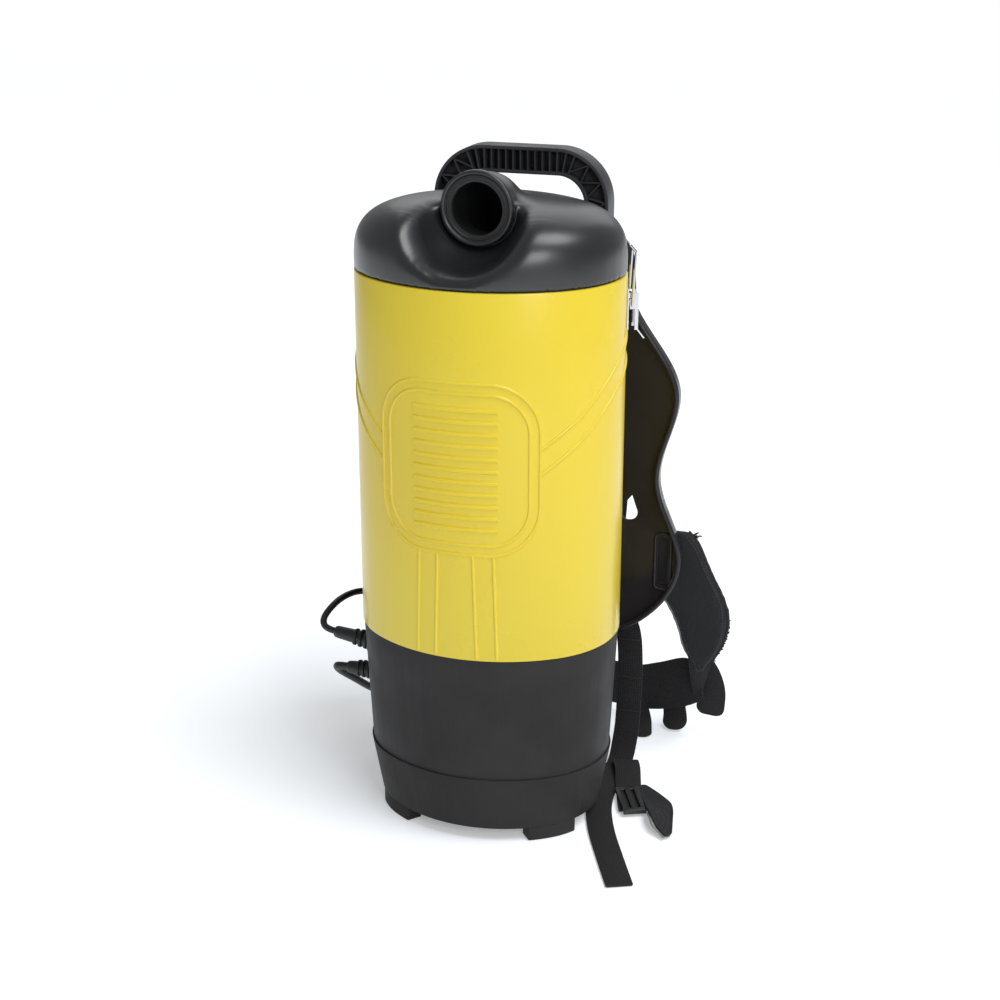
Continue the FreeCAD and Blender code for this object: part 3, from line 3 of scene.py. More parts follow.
import bmesh
import bpy
import numpy as np
from mathutils import Matrix, Vector, noise


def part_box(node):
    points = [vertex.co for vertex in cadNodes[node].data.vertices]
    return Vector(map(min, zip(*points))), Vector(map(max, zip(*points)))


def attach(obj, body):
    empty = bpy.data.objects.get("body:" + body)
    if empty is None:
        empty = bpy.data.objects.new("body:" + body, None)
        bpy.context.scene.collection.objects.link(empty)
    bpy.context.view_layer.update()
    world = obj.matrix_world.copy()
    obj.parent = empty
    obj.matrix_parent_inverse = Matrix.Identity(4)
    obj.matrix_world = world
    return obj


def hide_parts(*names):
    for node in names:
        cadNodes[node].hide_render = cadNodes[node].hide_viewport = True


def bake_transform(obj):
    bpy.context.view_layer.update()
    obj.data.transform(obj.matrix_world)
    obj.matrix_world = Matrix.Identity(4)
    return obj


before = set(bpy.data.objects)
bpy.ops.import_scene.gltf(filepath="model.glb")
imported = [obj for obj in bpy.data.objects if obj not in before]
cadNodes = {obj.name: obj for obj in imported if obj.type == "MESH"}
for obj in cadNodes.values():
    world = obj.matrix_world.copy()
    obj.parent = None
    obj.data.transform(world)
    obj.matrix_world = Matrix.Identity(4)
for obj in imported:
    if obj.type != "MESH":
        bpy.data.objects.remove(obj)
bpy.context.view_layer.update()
print("backpack vacuum: frame loaded,", len(cadNodes), "nodes")


def linked(name, data):
    piece = bpy.data.objects.new(name, data)
    bpy.context.scene.collection.objects.link(piece)
    return piece


# Where the photograph was taken from, in metres, with its lens and sensor in millimetres
viewpoint = {
    "place": (0.47748, -1.44158, 0.84115),
    "back": (0.29120, -0.89623, 0.33461),
    "right": (0.95106, 0.30902, 0.0),
    "lens": 64.1,
    "sensor": 36,
}


def makeCamera():
    back = Vector(viewpoint["back"])
    right = Vector(viewpoint["right"])
    turn = Matrix((right, back.cross(right), back)).transposed().to_4x4()
    lens = bpy.data.cameras.new("viewCamera")
    lens.sensor_width = viewpoint["sensor"]
    lens.lens = viewpoint["lens"]
    camera = linked("viewCamera", lens)
    camera.matrix_world = Matrix.Translation(viewpoint["place"]) @ turn
    bpy.context.scene.camera = camera


makeCamera()


# Node helpers for the finishes, the studio and the Geometry Nodes trees
def setSockets(node, values):
    for socket, value in values.items():
        node.inputs[socket.replace("_", " ")].default_value = value
    return node


def addNode(tree, kind, **values):
    return setSockets(tree.nodes.new(kind), values)


def join(source, node, inlet):
    node.id_data.links.new(source, node.inputs[inlet])


def larger(tree, first, second):
    most = addNode(tree, "ShaderNodeMath")
    most.operation = "MAXIMUM"
    join(first, most, 0)
    join(second, most, 1)
    return most.outputs["Value"]


# Finishes. Each is a Principled material whose colour, gloss or relief varies a little:
# drift is (other colour, noise scale), gloss (noise scale, lowest and highest roughness),
# grain (noise scale, depth in metres, strength) and weave the settings of weaveBump
def newFinish(name, colour, roughness, metallic=0.0, drift=None, gloss=None, grain=None,
              weave=None, **sockets):
    material = bpy.data.materials.new(name)
    material.use_nodes = True
    material.diffuse_color = (*colour, 1)
    shader = material.node_tree.nodes["Principled BSDF"]
    setSockets(shader, {"Base Color": (*colour, 1), "Roughness": roughness,
                        "Metallic": metallic, **sockets})
    if drift:
        mottle(shader, *drift)
    if gloss:
        varyGloss(shader, *gloss)
    if grain:
        grainBump(shader, *grain)
    if weave:
        weaveBump(shader, **weave)
    return material


def noiseOver(tree, scale, detail, stretch=(1, 1, 1)):
    place = addNode(tree, "ShaderNodeTexCoord")
    mapping = addNode(tree, "ShaderNodeMapping", Scale=stretch)
    grain = addNode(tree, "ShaderNodeTexNoise", Scale=scale, Detail=detail)
    join(place.outputs["Object"], mapping, "Vector")
    join(mapping.outputs["Vector"], grain, "Vector")
    return grain.outputs["Fac"]


def rampTo(shader, pattern, other, low, high):
    # The colour goes from its own to another between two levels of a pattern
    ramp = addNode(shader.id_data, "ShaderNodeValToRGB")
    near, far = ramp.color_ramp.elements
    near.position = low
    near.color = shader.inputs["Base Color"].default_value[:]
    far.position = high
    far.color = (*other, 1)
    join(pattern, ramp, "Fac")
    join(ramp.outputs["Color"], shader, "Base Color")


def relieve(shader, pattern, depth, strength):
    bump = addNode(shader.id_data, "ShaderNodeBump", Strength=strength, Distance=depth)
    join(pattern, bump, "Height")
    join(bump.outputs["Normal"], shader, "Normal")


def mottle(shader, other, scale, low=0.35, high=0.7):
    rampTo(shader, noiseOver(shader.id_data, scale, 4.0), other, low, high)


def varyGloss(shader, scale, low, high):
    tree = shader.id_data
    spread = addNode(tree, "ShaderNodeMapRange", From_Min=0.3, From_Max=0.7, To_Min=low,
                     To_Max=high)
    join(noiseOver(tree, scale, 5.0), spread, "Value")
    join(spread.outputs["Result"], shader, "Roughness")


def grainBump(shader, scale, depth, strength, stretch=(1, 1, 1)):
    relieve(shader, noiseOver(shader.id_data, scale, 2.0, stretch), depth, strength)


def weaveBump(shader, pitch, depth, lighter, amount=0.5, coords="Object"):
    # Warp and weft from two banded waves, in relief and slightly in colour
    tree = shader.id_data
    place = addNode(tree, "ShaderNodeTexCoord")
    bandRun = 0.314  # how far a wave of scale 1 goes before it repeats
    waves = []
    for direction in ("X", "Y" if coords == "UV" else "Z"):
        wave = addNode(tree, "ShaderNodeTexWave", Scale=bandRun / pitch, Distortion=0.6,
                       Detail=1.0, Detail_Scale=2.0)
        wave.wave_type = "BANDS"
        wave.bands_direction = direction
        join(place.outputs[coords], wave, "Vector")
        waves.append(wave.outputs["Fac"])
    cross = larger(tree, *waves)
    relieve(shader, cross, depth, amount)
    rampTo(shader, cross, lighter, 0.2, 0.95)


glossYellow = newFinish(
    "glossYellow", (0.84, 0.665, 0.05), 0.26, drift=((0.84, 0.625, 0.042), 6.0),
    gloss=(9.0, 0.24, 0.34), grain=(180.0, 0.00012, 0.18), Specular_IOR_Level=0.36,
    Coat_Weight=0.15, Coat_Roughness=0.08)
lidCharcoal = newFinish(
    "lidCharcoal", (0.0095, 0.0105, 0.012), 0.34, drift=((0.013, 0.0145, 0.0165), 14.0),
    gloss=(20.0, 0.31, 0.4), grain=(900.0, 0.00012, 0.3), Coat_Weight=0.45, Coat_Roughness=0.27)
housingCharcoal = newFinish(
    "housingCharcoal", (0.030, 0.0285, 0.029), 0.5, drift=((0.040, 0.038, 0.039), 12.0),
    gloss=(30.0, 0.44, 0.56), grain=(1100.0, 0.0003, 0.5), Specular_IOR_Level=0.12)
baseCharcoal = newFinish(
    "baseCharcoal", (0.028, 0.026, 0.0255), 0.5, drift=((0.038, 0.0355, 0.035), 15.0),
    gloss=(30.0, 0.5, 0.64), grain=(1100.0, 0.0003, 0.5), Specular_IOR_Level=0.12)
plateBlack = newFinish(
    "plateBlack", (0.021, 0.0195, 0.0215), 0.2, drift=((0.030, 0.028, 0.0305), 10.0),
    gloss=(14.0, 0.17, 0.3), grain=(60.0, 0.0005, 0.15), Specular_IOR_Level=0.25,
    Specular_Tint=(0.85, 0.82, 1.0, 1.0), Coat_Weight=0.12, Coat_Roughness=0.05)
handleBlack = newFinish(
    "handleBlack", (0.040, 0.040, 0.044), 0.42, drift=((0.056, 0.056, 0.062), 22.0),
    gloss=(40.0, 0.3, 0.46), grain=(1000.0, 0.00015, 0.3), Specular_IOR_Level=0.3)
mouldedBlack = newFinish(
    "mouldedBlack", (0.012, 0.012, 0.013), 0.42, drift=((0.02, 0.02, 0.021), 30.0),
    gloss=(40.0, 0.36, 0.5), grain=(1200.0, 0.00015, 0.3))
cordSheath = newFinish(
    "cordSheath", (0.009, 0.009, 0.010), 0.4, drift=((0.015, 0.015, 0.016), 60.0),
    grain=(900.0, 0.00015, 0.25))
sealRubber = newFinish(
    "sealRubber", (0.02, 0.02, 0.02), 0.7, drift=((0.032, 0.032, 0.032), 40.0),
    grain=(800.0, 0.0002, 0.4))
padCloth = newFinish(
    "padCloth", (0.018, 0.018, 0.019), 0.85, Specular_IOR_Level=0.2, Sheen_Weight=0.04,
    Sheen_Roughness=0.5, weave={"pitch": 0.0016, "depth": 0.0005, "amount": 0.6,
                                "lighter": (0.029, 0.029, 0.032)})
webWeave = newFinish(
    "webWeave", (0.017, 0.016, 0.017), 0.75, Specular_IOR_Level=0.2, Sheen_Weight=0.03,
    Sheen_Roughness=0.45, weave={"pitch": 0.0022, "depth": 0.0006, "amount": 0.8,
                                 "lighter": (0.026, 0.0245, 0.026), "coords": "UV"})
threadBlack = newFinish(
    "threadBlack", (0.03, 0.03, 0.032), 0.6, drift=((0.05, 0.05, 0.053), 300.0))
boundEdge = newFinish(
    "boundEdge", (0.012, 0.012, 0.012), 0.7, Specular_IOR_Level=0.2,
    weave={"pitch": 0.0012, "depth": 0.0003, "lighter": (0.035, 0.034, 0.033)})
paleBacking = newFinish(
    "paleBacking", (0.34, 0.35, 0.34), 0.7, drift=((0.22, 0.23, 0.22), 50.0),
    grain=(700.0, 0.0002, 0.3))
chromeSteel = newFinish(
    "chromeSteel", (0.62, 0.62, 0.63), 0.12, 1.0, gloss=(60.0, 0.08, 0.2),
    grain=(120.0, 0.0002, 0.08))
zincSteel = newFinish(
    "zincSteel", (0.5, 0.5, 0.51), 0.35, 1.0, drift=((0.4, 0.4, 0.42), 90.0),
    gloss=(80.0, 0.28, 0.45))
woundCopper = newFinish(
    "woundCopper", (0.72, 0.36, 0.18), 0.35, 1.0, drift=((0.55, 0.26, 0.13), 120.0),
    grain=(300.0, 0.0006, 0.6, (1, 1, 4)))
brassPins = newFinish("brassPins", (0.74, 0.58, 0.29), 0.22, 1.0, gloss=(120.0, 0.15, 0.32))
carbonBlock = newFinish(
    "carbonBlock", (0.03, 0.03, 0.032), 0.6, drift=((0.06, 0.06, 0.062), 160.0))
bagPaper = newFinish(
    "bagPaper", (0.68, 0.60, 0.46), 0.85, drift=((0.60, 0.51, 0.38), 30.0),
    grain=(500.0, 0.0004, 0.4))
filterCloth = newFinish(
    "filterCloth", (0.62, 0.64, 0.66), 0.9, Sheen_Weight=0.2,
    weave={"pitch": 0.0022, "depth": 0.0004, "lighter": (0.7, 0.71, 0.73)})
filterFoam = newFinish(
    "filterFoam", (0.08, 0.09, 0.1), 0.95, drift=((0.03, 0.035, 0.04), 600.0, 0.4, 0.6),
    grain=(700.0, 0.001, 0.8))
filterFelt = newFinish(
    "filterFelt", (0.7, 0.71, 0.7), 0.95, drift=((0.6, 0.6, 0.6), 80.0),
    grain=(500.0, 0.0005, 0.5))
rockerRed = newFinish("rockerRed", (0.45, 0.03, 0.02), 0.3, gloss=(60.0, 0.25, 0.4))
fanPlastic = newFinish(
    "fanPlastic", (0.32, 0.33, 0.34), 0.4, drift=((0.26, 0.27, 0.28), 30.0))
print("finishes made")


# Mesh helpers. Places are given in millimetres and turned to metres here
def mm(*values):
    return Vector([value / 1000 for value in values])


def bandFaces(rows, steps, base=0, closed=False):
    # Quads between each ring of places and the next
    faces = []
    for row in range(rows if closed else rows - 1):
        low, high = base + row * steps, base + (row + 1) % rows * steps
        for n in range(steps):
            other = (n + 1) % steps
            faces.append((low + n, low + other, high + other, high + n))
    return faces


def newPiece(name, places, faces, finish, smooth=True, weld=True):
    mesh = bpy.data.meshes.new(name)
    mesh.from_pydata([tuple(place) for place in places], [], faces)
    bm = bmesh.new()
    bm.from_mesh(mesh)
    if weld:
        bmesh.ops.remove_doubles(bm, verts=bm.verts, dist=1e-6)
    bmesh.ops.recalc_face_normals(bm, faces=bm.faces)
    bm.to_mesh(mesh)
    bm.free()
    for face in mesh.polygons:
        face.use_smooth = smooth
    mesh.materials.append(finish)
    return linked(name, mesh)


def settle(piece, body, instead=()):
    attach(piece, body)
    if instead:
        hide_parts(*instead)


def applied(piece):
    # What the modifiers make becomes the piece's own mesh
    view = bpy.context.evaluated_depsgraph_get()
    view.update()
    mesh = bpy.data.meshes.new_from_object(piece.evaluated_get(view), depsgraph=view)
    if piece.type != "MESH":
        name = piece.name
        bpy.data.objects.remove(piece)
        return linked(name, mesh)
    piece.modifiers.clear()
    piece.data = mesh
    return piece


def repaint(mesh, finish):
    mesh.materials.clear()
    mesh.materials.append(finish)


def smoothShade(piece):
    for face in piece.data.polygons:
        face.use_smooth = True


def shadeByAngle(piece, degrees):
    mesh = piece.data
    limit = math.radians(degrees)
    bm = bmesh.new()
    bm.from_mesh(mesh)
    for face in bm.faces:
        face.smooth = True
    for edge in bm.edges:
        edge.smooth = len(edge.link_faces) == 2 and edge.calc_face_angle(0) < limit
    bm.to_mesh(mesh)
    bm.free()


def nodeCopy(node, name, finish):
    # A copy of a CAD node's mesh with its loose triangles welded
    bm = bmesh.new()
    bm.from_mesh(cadNodes[node].data)
    bmesh.ops.remove_doubles(bm, verts=bm.verts, dist=2e-6)
    mesh = bpy.data.meshes.new(name)
    bm.to_mesh(mesh)
    bm.free()
    repaint(mesh, finish)
    return linked(name, mesh)


# Angles in degrees: up to flat, faces are one; past sharp, an edge is rounded; past crease,
# it stays an edge in the shading
easing = {"flat": 0.6, "sharp": 38, "crease": 32, "segments": 3}


def easedCopy(node, name, finish, width):
    # Moulded edges: a CAD node's sharp edges get a small round
    piece = nodeCopy(node, name, finish)
    bm = bmesh.new()
    bm.from_mesh(piece.data)
    bmesh.ops.dissolve_limit(bm, angle_limit=math.radians(easing["flat"]), verts=bm.verts,
                             edges=bm.edges)
    bm.to_mesh(piece.data)
    bm.free()
    bevel = piece.modifiers.new("ease", "BEVEL")
    bevel.width = width / 1000
    bevel.segments = easing["segments"]
    bevel.limit_method = "ANGLE"
    bevel.angle_limit = math.radians(easing["sharp"])
    applied(piece)
    shadeByAngle(piece, easing["crease"])
    return piece


def remeshedCopy(node, name, finish, voxel):
    piece = nodeCopy(node, name, finish)
    remesh = piece.modifiers.new("remesh", "REMESH")
    remesh.mode = "VOXEL"
    remesh.voxel_size = voxel / 1000
    return piece


# The oval body: two end arcs and two flatter side arcs, met by their common normal
bodyOval = {"halfWidth": 120.0, "halfDepth": 98.5, "endRadius": 88.0, "steps": 192}


def ovalArcs():
    # Half width, half depth, and the radii of the end and side arcs
    wide, deep, end = (bodyOval[key] for key in ("halfWidth", "halfDepth", "endRadius"))
    return wide, deep, end, (deep ** 2 + (wide - end) ** 2 - end ** 2) / (2 * (deep - end))


def ovalSpot(angle, inset):
    wide, deep, end, side = ovalArcs()
    meet = math.atan2(side - deep, wide - end)
    x, y = math.cos(angle), math.sin(angle)
    if abs(math.atan2(y, abs(x))) <= meet:
        return math.copysign(wide - end, x) + (end - inset) * x, (end - inset) * y
    return (side - inset) * x, (side - inset) * y - math.copysign(side - deep, y)


def ovalShell(name, profile, finish):
    # A closed profile of (inset, height) pairs carried round the body
    steps = bodyOval["steps"]
    places = []
    for inset, height in profile:
        for n in range(steps):
            x, y = ovalSpot(2 * math.pi * n / steps, inset)
            places.append(mm(x, y, height))
    piece = newPiece(name, places, bandFaces(len(profile), steps, closed=True), finish)
    shadeByAngle(piece, 35)
    return piece


# Geometry Nodes trees for what runs along a path or repeats along it
def newTree(name, inputs):
    tree = bpy.data.node_groups.new(name, "GeometryNodeTree")
    tree.interface.new_socket("Geometry", in_out="INPUT", socket_type="NodeSocketGeometry")
    for label, kind, value in inputs:
        socket = tree.interface.new_socket(label, in_out="INPUT", socket_type="NodeSocket" + kind)
        if value is not None:
            socket.default_value = value
    tree.interface.new_socket("Geometry", in_out="OUTPUT", socket_type="NodeSocketGeometry")
    return tree, tree.nodes.new("NodeGroupInput"), tree.nodes.new("NodeGroupOutput")


def endTree(tree, start, end, made):
    real = addNode(tree, "GeometryNodeRealizeInstances")
    paint = addNode(tree, "GeometryNodeSetMaterial")
    join(made, real, "Geometry")
    join(real.outputs["Geometry"], paint, "Geometry")
    join(start.outputs["Finish"], paint, "Material")
    join(paint.outputs["Geometry"], end, "Geometry")
    return tree


def makeRaisedTree():
    # A round bead along a line
    tree, start, end = newTree("raisedLine", [("Width", "Float", 0.003), ("Sides", "Int", 10),
                                              ("Finish", "Material", None)])
    ring = addNode(tree, "GeometryNodeCurvePrimitiveCircle")
    sweep = addNode(tree, "GeometryNodeCurveToMesh", Fill_Caps=True)
    half = addNode(tree, "ShaderNodeMath")
    half.operation = "MULTIPLY"
    half.inputs[1].default_value = 0.5
    shade = addNode(tree, "GeometryNodeSetShadeSmooth")
    join(start.outputs["Width"], half, 0)
    join(half.outputs["Value"], ring, "Radius")
    join(start.outputs["Sides"], ring, "Resolution")
    join(start.outputs["Geometry"], sweep, "Curve")
    join(ring.outputs["Curve"], sweep, "Profile Curve")
    join(sweep.outputs["Mesh"], shade, "Geometry")
    return endTree(tree, start, end, shade.outputs["Geometry"])


def makeRowTree():
    # Small blocks set along a line at an even pitch, their length along it
    tree, start, end = newTree("blockRow", [
        ("Pitch", "Float", 0.003), ("Size", "Vector", (0.002, 0.001, 0.001)),
        ("Finish", "Material", None)])
    spread = addNode(tree, "GeometryNodeCurveToPoints")
    spread.mode = "LENGTH"
    block = addNode(tree, "GeometryNodeMeshCube")
    turn = addNode(tree, "FunctionNodeAlignRotationToVector")
    turn.axis = "X"
    place = addNode(tree, "GeometryNodeInstanceOnPoints")
    join(start.outputs["Geometry"], spread, "Curve")
    join(start.outputs["Pitch"], spread, "Length")
    join(start.outputs["Size"], block, "Size")
    join(spread.outputs["Tangent"], turn, "Vector")
    join(spread.outputs["Points"], place, "Points")
    join(block.outputs["Mesh"], place, "Instance")
    join(turn.outputs["Rotation"], place, "Rotation")
    return endTree(tree, start, end, place.outputs["Instances"])


raisedTree = makeRaisedTree()
rowTree = makeRowTree()


def runTree(piece, tree, **values):
    modifier = piece.modifiers.new(tree.name, "NODES")
    modifier.node_group = tree
    for item in tree.interface.items_tree:
        if item.in_out == "INPUT" and item.name in values:
            modifier[item.identifier] = values[item.name]
    return applied(piece)


def pathCurve(name, lines, closed=False):
    # One poly spline for each line of places in metres
    curve = bpy.data.curves.new(name, "CURVE")
    curve.dimensions = "3D"
    for line in lines:
        spline = curve.splines.new("POLY")
        spline.points.add(len(line) - 1)
        for point, place in zip(spline.points, line):
            point.co = (*place, 1)
        spline.use_cyclic_u = closed
    return linked(name, curve)


def raisedLines(name, lines, width, sides, finish, closed=False):
    bead = runTree(pathCurve(name, lines, closed), raisedTree, Width=width / 1000, Sides=sides,
                   Finish=finish)
    settle(bead, "shell")


def blockRow(name, lines, pitch, size, finish):
    row = runTree(pathCurve(name, lines), rowTree, Pitch=pitch / 1000,
                  Size=tuple(length / 1000 for length in size), Finish=finish)
    settle(row, "shell")


def denser(spots, step=4.0):
    made = []
    for before, after in zip(spots, spots[1:]):
        count = max(1, int(math.dist(before, after) / step))
        made += [tuple(a + (b - a) * n / count for a, b in zip(before, after))
                 for n in range(count)]
    return made + [spots[-1]]


def curved(spots, count=14):
    # Catmull-Rom through the given spots
    made = []
    for n in range(len(spots) - 1):
        p = [spots[max(n - 1, 0)], spots[n], spots[n + 1], spots[min(n + 2, len(spots) - 1)]]
        for step in range(count):
            t = step / count
            made.append(tuple(
                0.5 * (2 * b + (c - a) * t + (2 * a - 5 * b + 4 * c - d) * t * t
                       + (3 * b - a - 3 * c + d) * t ** 3) for a, b, c, d in zip(*p)))
    return made + [tuple(spots[-1])]


def lathe(name, profile, origin, axis, finish, steps, closed=False):
    # (distance along the axis, radius) pairs turned about it. An open profile gets its ends shut
    along = Vector(axis).normalized()
    side = along.orthogonal().normalized()
    up = along.cross(side)
    places = []
    for reach, radius in profile:
        for n in range(steps):
            angle = 2 * math.pi * n / steps
            arm = side * math.cos(angle) + up * math.sin(angle)
            places.append((Vector(origin) + along * reach + arm * radius) / 1000)
    rows = len(profile)
    faces = bandFaces(rows, steps, closed=closed)
    if not closed:
        faces += [tuple(range(steps)), tuple((rows - 1) * steps + n for n in range(steps))]
    piece = newPiece(name, places, faces, finish)
    shadeByAngle(piece, 40)
    return piece


def roundedEnds(spots, width, radii):
    # Closer stations near a rounded end, and each station's share of the width
    reach = [0.0]
    for before, after in zip(spots, spots[1:]):
        reach.append(reach[-1] + math.dist(before[:3], after[:3]))
    marks = set(reach)
    for radius, far in zip(radii, (False, True)):
        for n in range(9):
            mark = radius * (1 - math.cos(math.pi / 2 * n / 8))
            marks.add(reach[-1] - mark if far else mark)
    made = []
    for mark in sorted(marks):
        n = max(k for k in range(len(reach) - 1) if reach[k] <= mark + 1e-9)
        part = (mark - reach[n]) / max(reach[n + 1] - reach[n], 1e-9)
        spot = [a + (b - a) * part for a, b in zip(spots[n], spots[n + 1])]
        share = spot[6] if len(spot) > 6 else 1.0
        half = width * share / 2
        for radius, gone in zip(radii, (mark, reach[-1] - mark)):
            if gone < radius:
                half = min(half, width * share / 2 - radius
                           + math.sqrt(max(radius ** 2 - (radius - gone) ** 2, 0)))
        made.append((*spot[:6], max(half * 2 / width, 0.05)))
    return made


def strapMesh(name, route, width, thick, crown, ends):
    # A flat band along (x, y, z, side x, side y, side z) spots, with its weave in UV
    ring = ((-0.5, -0.32), (-0.47, -0.5), (0.0, -0.5), (0.47, -0.5), (0.5, -0.32), (0.5, 0.32),
            (0.47, 0.5), (0.0, 0.5 + crown), (-0.47, 0.5), (-0.5, 0.32))
    spots = roundedEnds(curved(route, 12), width, ends)
    places, uvs = [], []
    length = 0.0
    for n, spot in enumerate(spots):
        centre = Vector(spot[:3])
        before = Vector(spots[max(n - 1, 0)][:3])
        after = Vector(spots[min(n + 1, len(spots) - 1)][:3])
        heading = (after - before).normalized()
        across = Vector(spot[3:6])
        across = (across - heading * across.dot(heading)).normalized()
        normal = across.cross(heading)
        wide = width * spot[6]
        length += (centre - before).length
        for a, b in ring:
            places.append((centre + across * (a * wide) + normal * (b * thick)) / 1000)
            uvs.append((a * wide / 1000, length / 1000))
    count = len(ring)
    last = (len(spots) - 1) * count
    faces = bandFaces(len(spots), count)
    faces += [tuple(range(count)), tuple(last + n for n in reversed(range(count)))]
    piece = newPiece(name, places, faces, webWeave, weld=False)
    layer = piece.data.uv_layers.new(name="weave")
    for loop in piece.data.loops:
        layer.data[loop.index].uv = uvs[loop.vertex_index]
    shadeByAngle(piece, 50)
    return piece


stuffing = {"pressure": 4, "stiffness": 25, "frames": 20}


def blowUp(piece, swell):
    # Cloth under pressure, with each point held within the swell of where it was
    start = [vertex.co.copy() for vertex in piece.data.vertices]
    cloth = piece.modifiers.new("stuffing", "CLOTH")
    cloth.settings.use_pressure = True
    cloth.settings.uniform_pressure_force = stuffing["pressure"]
    cloth.settings.effector_weights.gravity = 0
    cloth.settings.tension_stiffness = stuffing["stiffness"]
    cloth.settings.compression_stiffness = stuffing["stiffness"]
    cloth.point_cache.frame_end = stuffing["frames"]
    scene = bpy.context.scene
    for step in range(1, stuffing["frames"] + 1):
        scene.frame_set(step)
    applied(piece)
    scene.frame_set(1)
    for vertex, old in zip(piece.data.vertices, start):
        move = vertex.co - old
        if move.length > swell / 1000:
            vertex.co = old + move.normalized() * swell / 1000


def paddedCopy(node, name, finish, voxel, shrink, swell):
    # A stuffed piece: remeshed, drawn in, blown up as cloth and held near its CAD shape
    piece = applied(remeshedCopy(node, name, finish, voxel))
    vertices = piece.data.vertices
    for vertex, normal in zip(vertices, [vertex.normal.copy() for vertex in vertices]):
        vertex.co -= normal * shrink / 1000
    blowUp(piece, swell)
    finer = piece.modifiers.new("round", "SUBSURF")
    finer.levels = finer.render_levels = 1
    applied(piece)
    repaint(piece.data, finish)
    smoothShade(piece)
    return piece


# The two leads, with the route points of the CAD tubes
leads = {
    "switchLead": {
        "points": ((-157.4, 0, 151.6), (-167.3, 0, 153.0), (-172.5, 6, 159), (-170, 18, 166),
                   (-166, 40, 170), (-158, 66, 168), (-146, 93, 156), (-146, 112.6, 156)),
        "diameter": 6.4, "length": 0.1335, "farEnd": "object", "node": "switch_cord"},
    "powerLead": {
        "points": ((-145.3, 0, 116), (-155.3, 0, 116), (-160, 7, 110.5), (-159.5, 19, 100.5),
                   (-156, 41, 84), (-151.5, 69, 62), (-145, 99, 41), (-134.5, 129, 21),
                   (-119, 157, 8), (-94, 178, 4.5), (-62, 189, 4.4), (-28, 190, 4.4),
                   (3, 178, 6.5), (26, 154, 13.8)),
        "diameter": 7.6, "length": 0.373, "farEnd": "plug", "node": "power_cord"},
}


def makeLead(name, route):
    curve = bpy.data.curves.new(name, "CURVE")
    curve.dimensions = "3D"
    curve.bevel_depth = route["diameter"] / 2000
    curve.bevel_resolution = 5
    curve.resolution_u = 16
    curve.use_fill_caps = True
    spline = curve.splines.new("NURBS")
    spline.points.add(len(route["points"]) - 1)
    for point, place in zip(spline.points, route["points"]):
        point.co = (*mm(*place), 1)
    spline.order_u = 3
    spline.use_endpoint_u = True
    curve.materials.append(cordSheath)
    return linked(name, curve)


for name, route in leads.items():
    lead = makeLead(name, route)
    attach(lead, "shell")
    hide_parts(route["node"])
print("leads laid")


# The sleeve's shell, with its lips rounded: (inset, height) pairs
sleeve = ovalShell("sleeve", (
    (3.0, 187.0), (1.0, 187.0), (0.3, 187.3), (0.0, 188.0), (0.0, 513.6), (0.35, 514.5),
    (1.2, 514.9), (3.0, 514.9), (3.0, 188.0)), glossYellow)
settle(sleeve, "shell", ["canister_sleeve"])

# Raised lines on the sleeve: a double rounded frame round a row of slats, a pair of bands on
# each flank and two pairs of legs below the frame
relief = {"line": 3.2, "sink": 0.35, "sides": 12, "frameHalf": (74, 76), "frameMiddle": 362,
          "corner": 44, "frameGap": 9, "slatHalf": 38, "slatPitch": 10.6, "slats": 11,
          "slatWidth": 4.4, "bandGap": 22,
          "band": ((73.26, 18), (110, 44), (160, 82), (215, 104), (268, 110)),
          "legs": (16, 34), "legSpread": 3, "legFoot": 190}


def sleevePath(spots):
    # (distance round the sleeve from the front, height) in millimetres, laid on the surface
    wide, deep, end, side = ovalArcs()
    meet = math.pi / 2 - math.atan2(side - deep, wide - end)
    line = []
    for distance, height in spots:
        reach = abs(distance)
        turn = reach / side if reach < side * meet else meet + (reach - side * meet) / end
        angle = -math.pi / 2 + math.copysign(turn, distance)
        x, y = ovalSpot(angle, relief["sink"])
        line.append(mm(x, y, height))
    return line


def roundedFrame(inset):
    wide, tall = (half - inset for half in relief["frameHalf"])
    corner = relief["corner"] - inset
    spots = []
    for turn, (sx, sz) in enumerate(((1, 1), (-1, 1), (-1, -1), (1, -1))):
        for n in range(13):
            angle = math.pi / 2 * (turn + n / 12)
            spots.append((sx * (wide - corner) + corner * math.cos(angle),
                          relief["frameMiddle"] + sz * (tall - corner)
                          + corner * math.sin(angle)))
    spots.append(spots[0])
    return denser(spots)


def makeRelief():
    middle, foot = relief["frameMiddle"], relief["frameMiddle"] - relief["frameHalf"][1]
    lines = [roundedFrame(0), roundedFrame(relief["frameGap"])]
    for side in (-1, 1):
        for drop in (0, relief["bandGap"]):
            lines.append(curved([(side * across, middle + rise - drop)
                                 for across, rise in relief["band"]]))
        for across in relief["legs"]:
            lines.append(denser([(side * across, foot),
                                 (side * (across + relief["legSpread"]), relief["legFoot"])]))
    raisedLines("sleeveLines", [sleevePath(line) for line in lines], relief["line"],
                relief["sides"], glossYellow)
    slats = []
    for n in range(relief["slats"]):
        height = middle + (n - (relief["slats"] - 1) / 2) * relief["slatPitch"]
        slats.append(sleevePath(denser([(-relief["slatHalf"], height),
                                        (relief["slatHalf"], height)])))
    raisedLines("sleeveSlats", slats, relief["slatWidth"], relief["sides"], glossYellow)


makeRelief()
print("sleeve and its relief made")

# Dome lid, moulded in one with the port hood. The scoop round the port runs softly into the
# dome: full depth up to the near radius, none beyond the far one, each given by direction
lidForm = {"port": 572.3, "foot": 515.3, "height": 61.5, "fullness": 3.6, "floor": -26.0,
           "near": (34.0, 38.0, 31.0, 36.0), "far": (56.0, 49.0, 58.0, 50.0), "voxel": 2.2,
           "flange": 33.5, "shallow": 3}
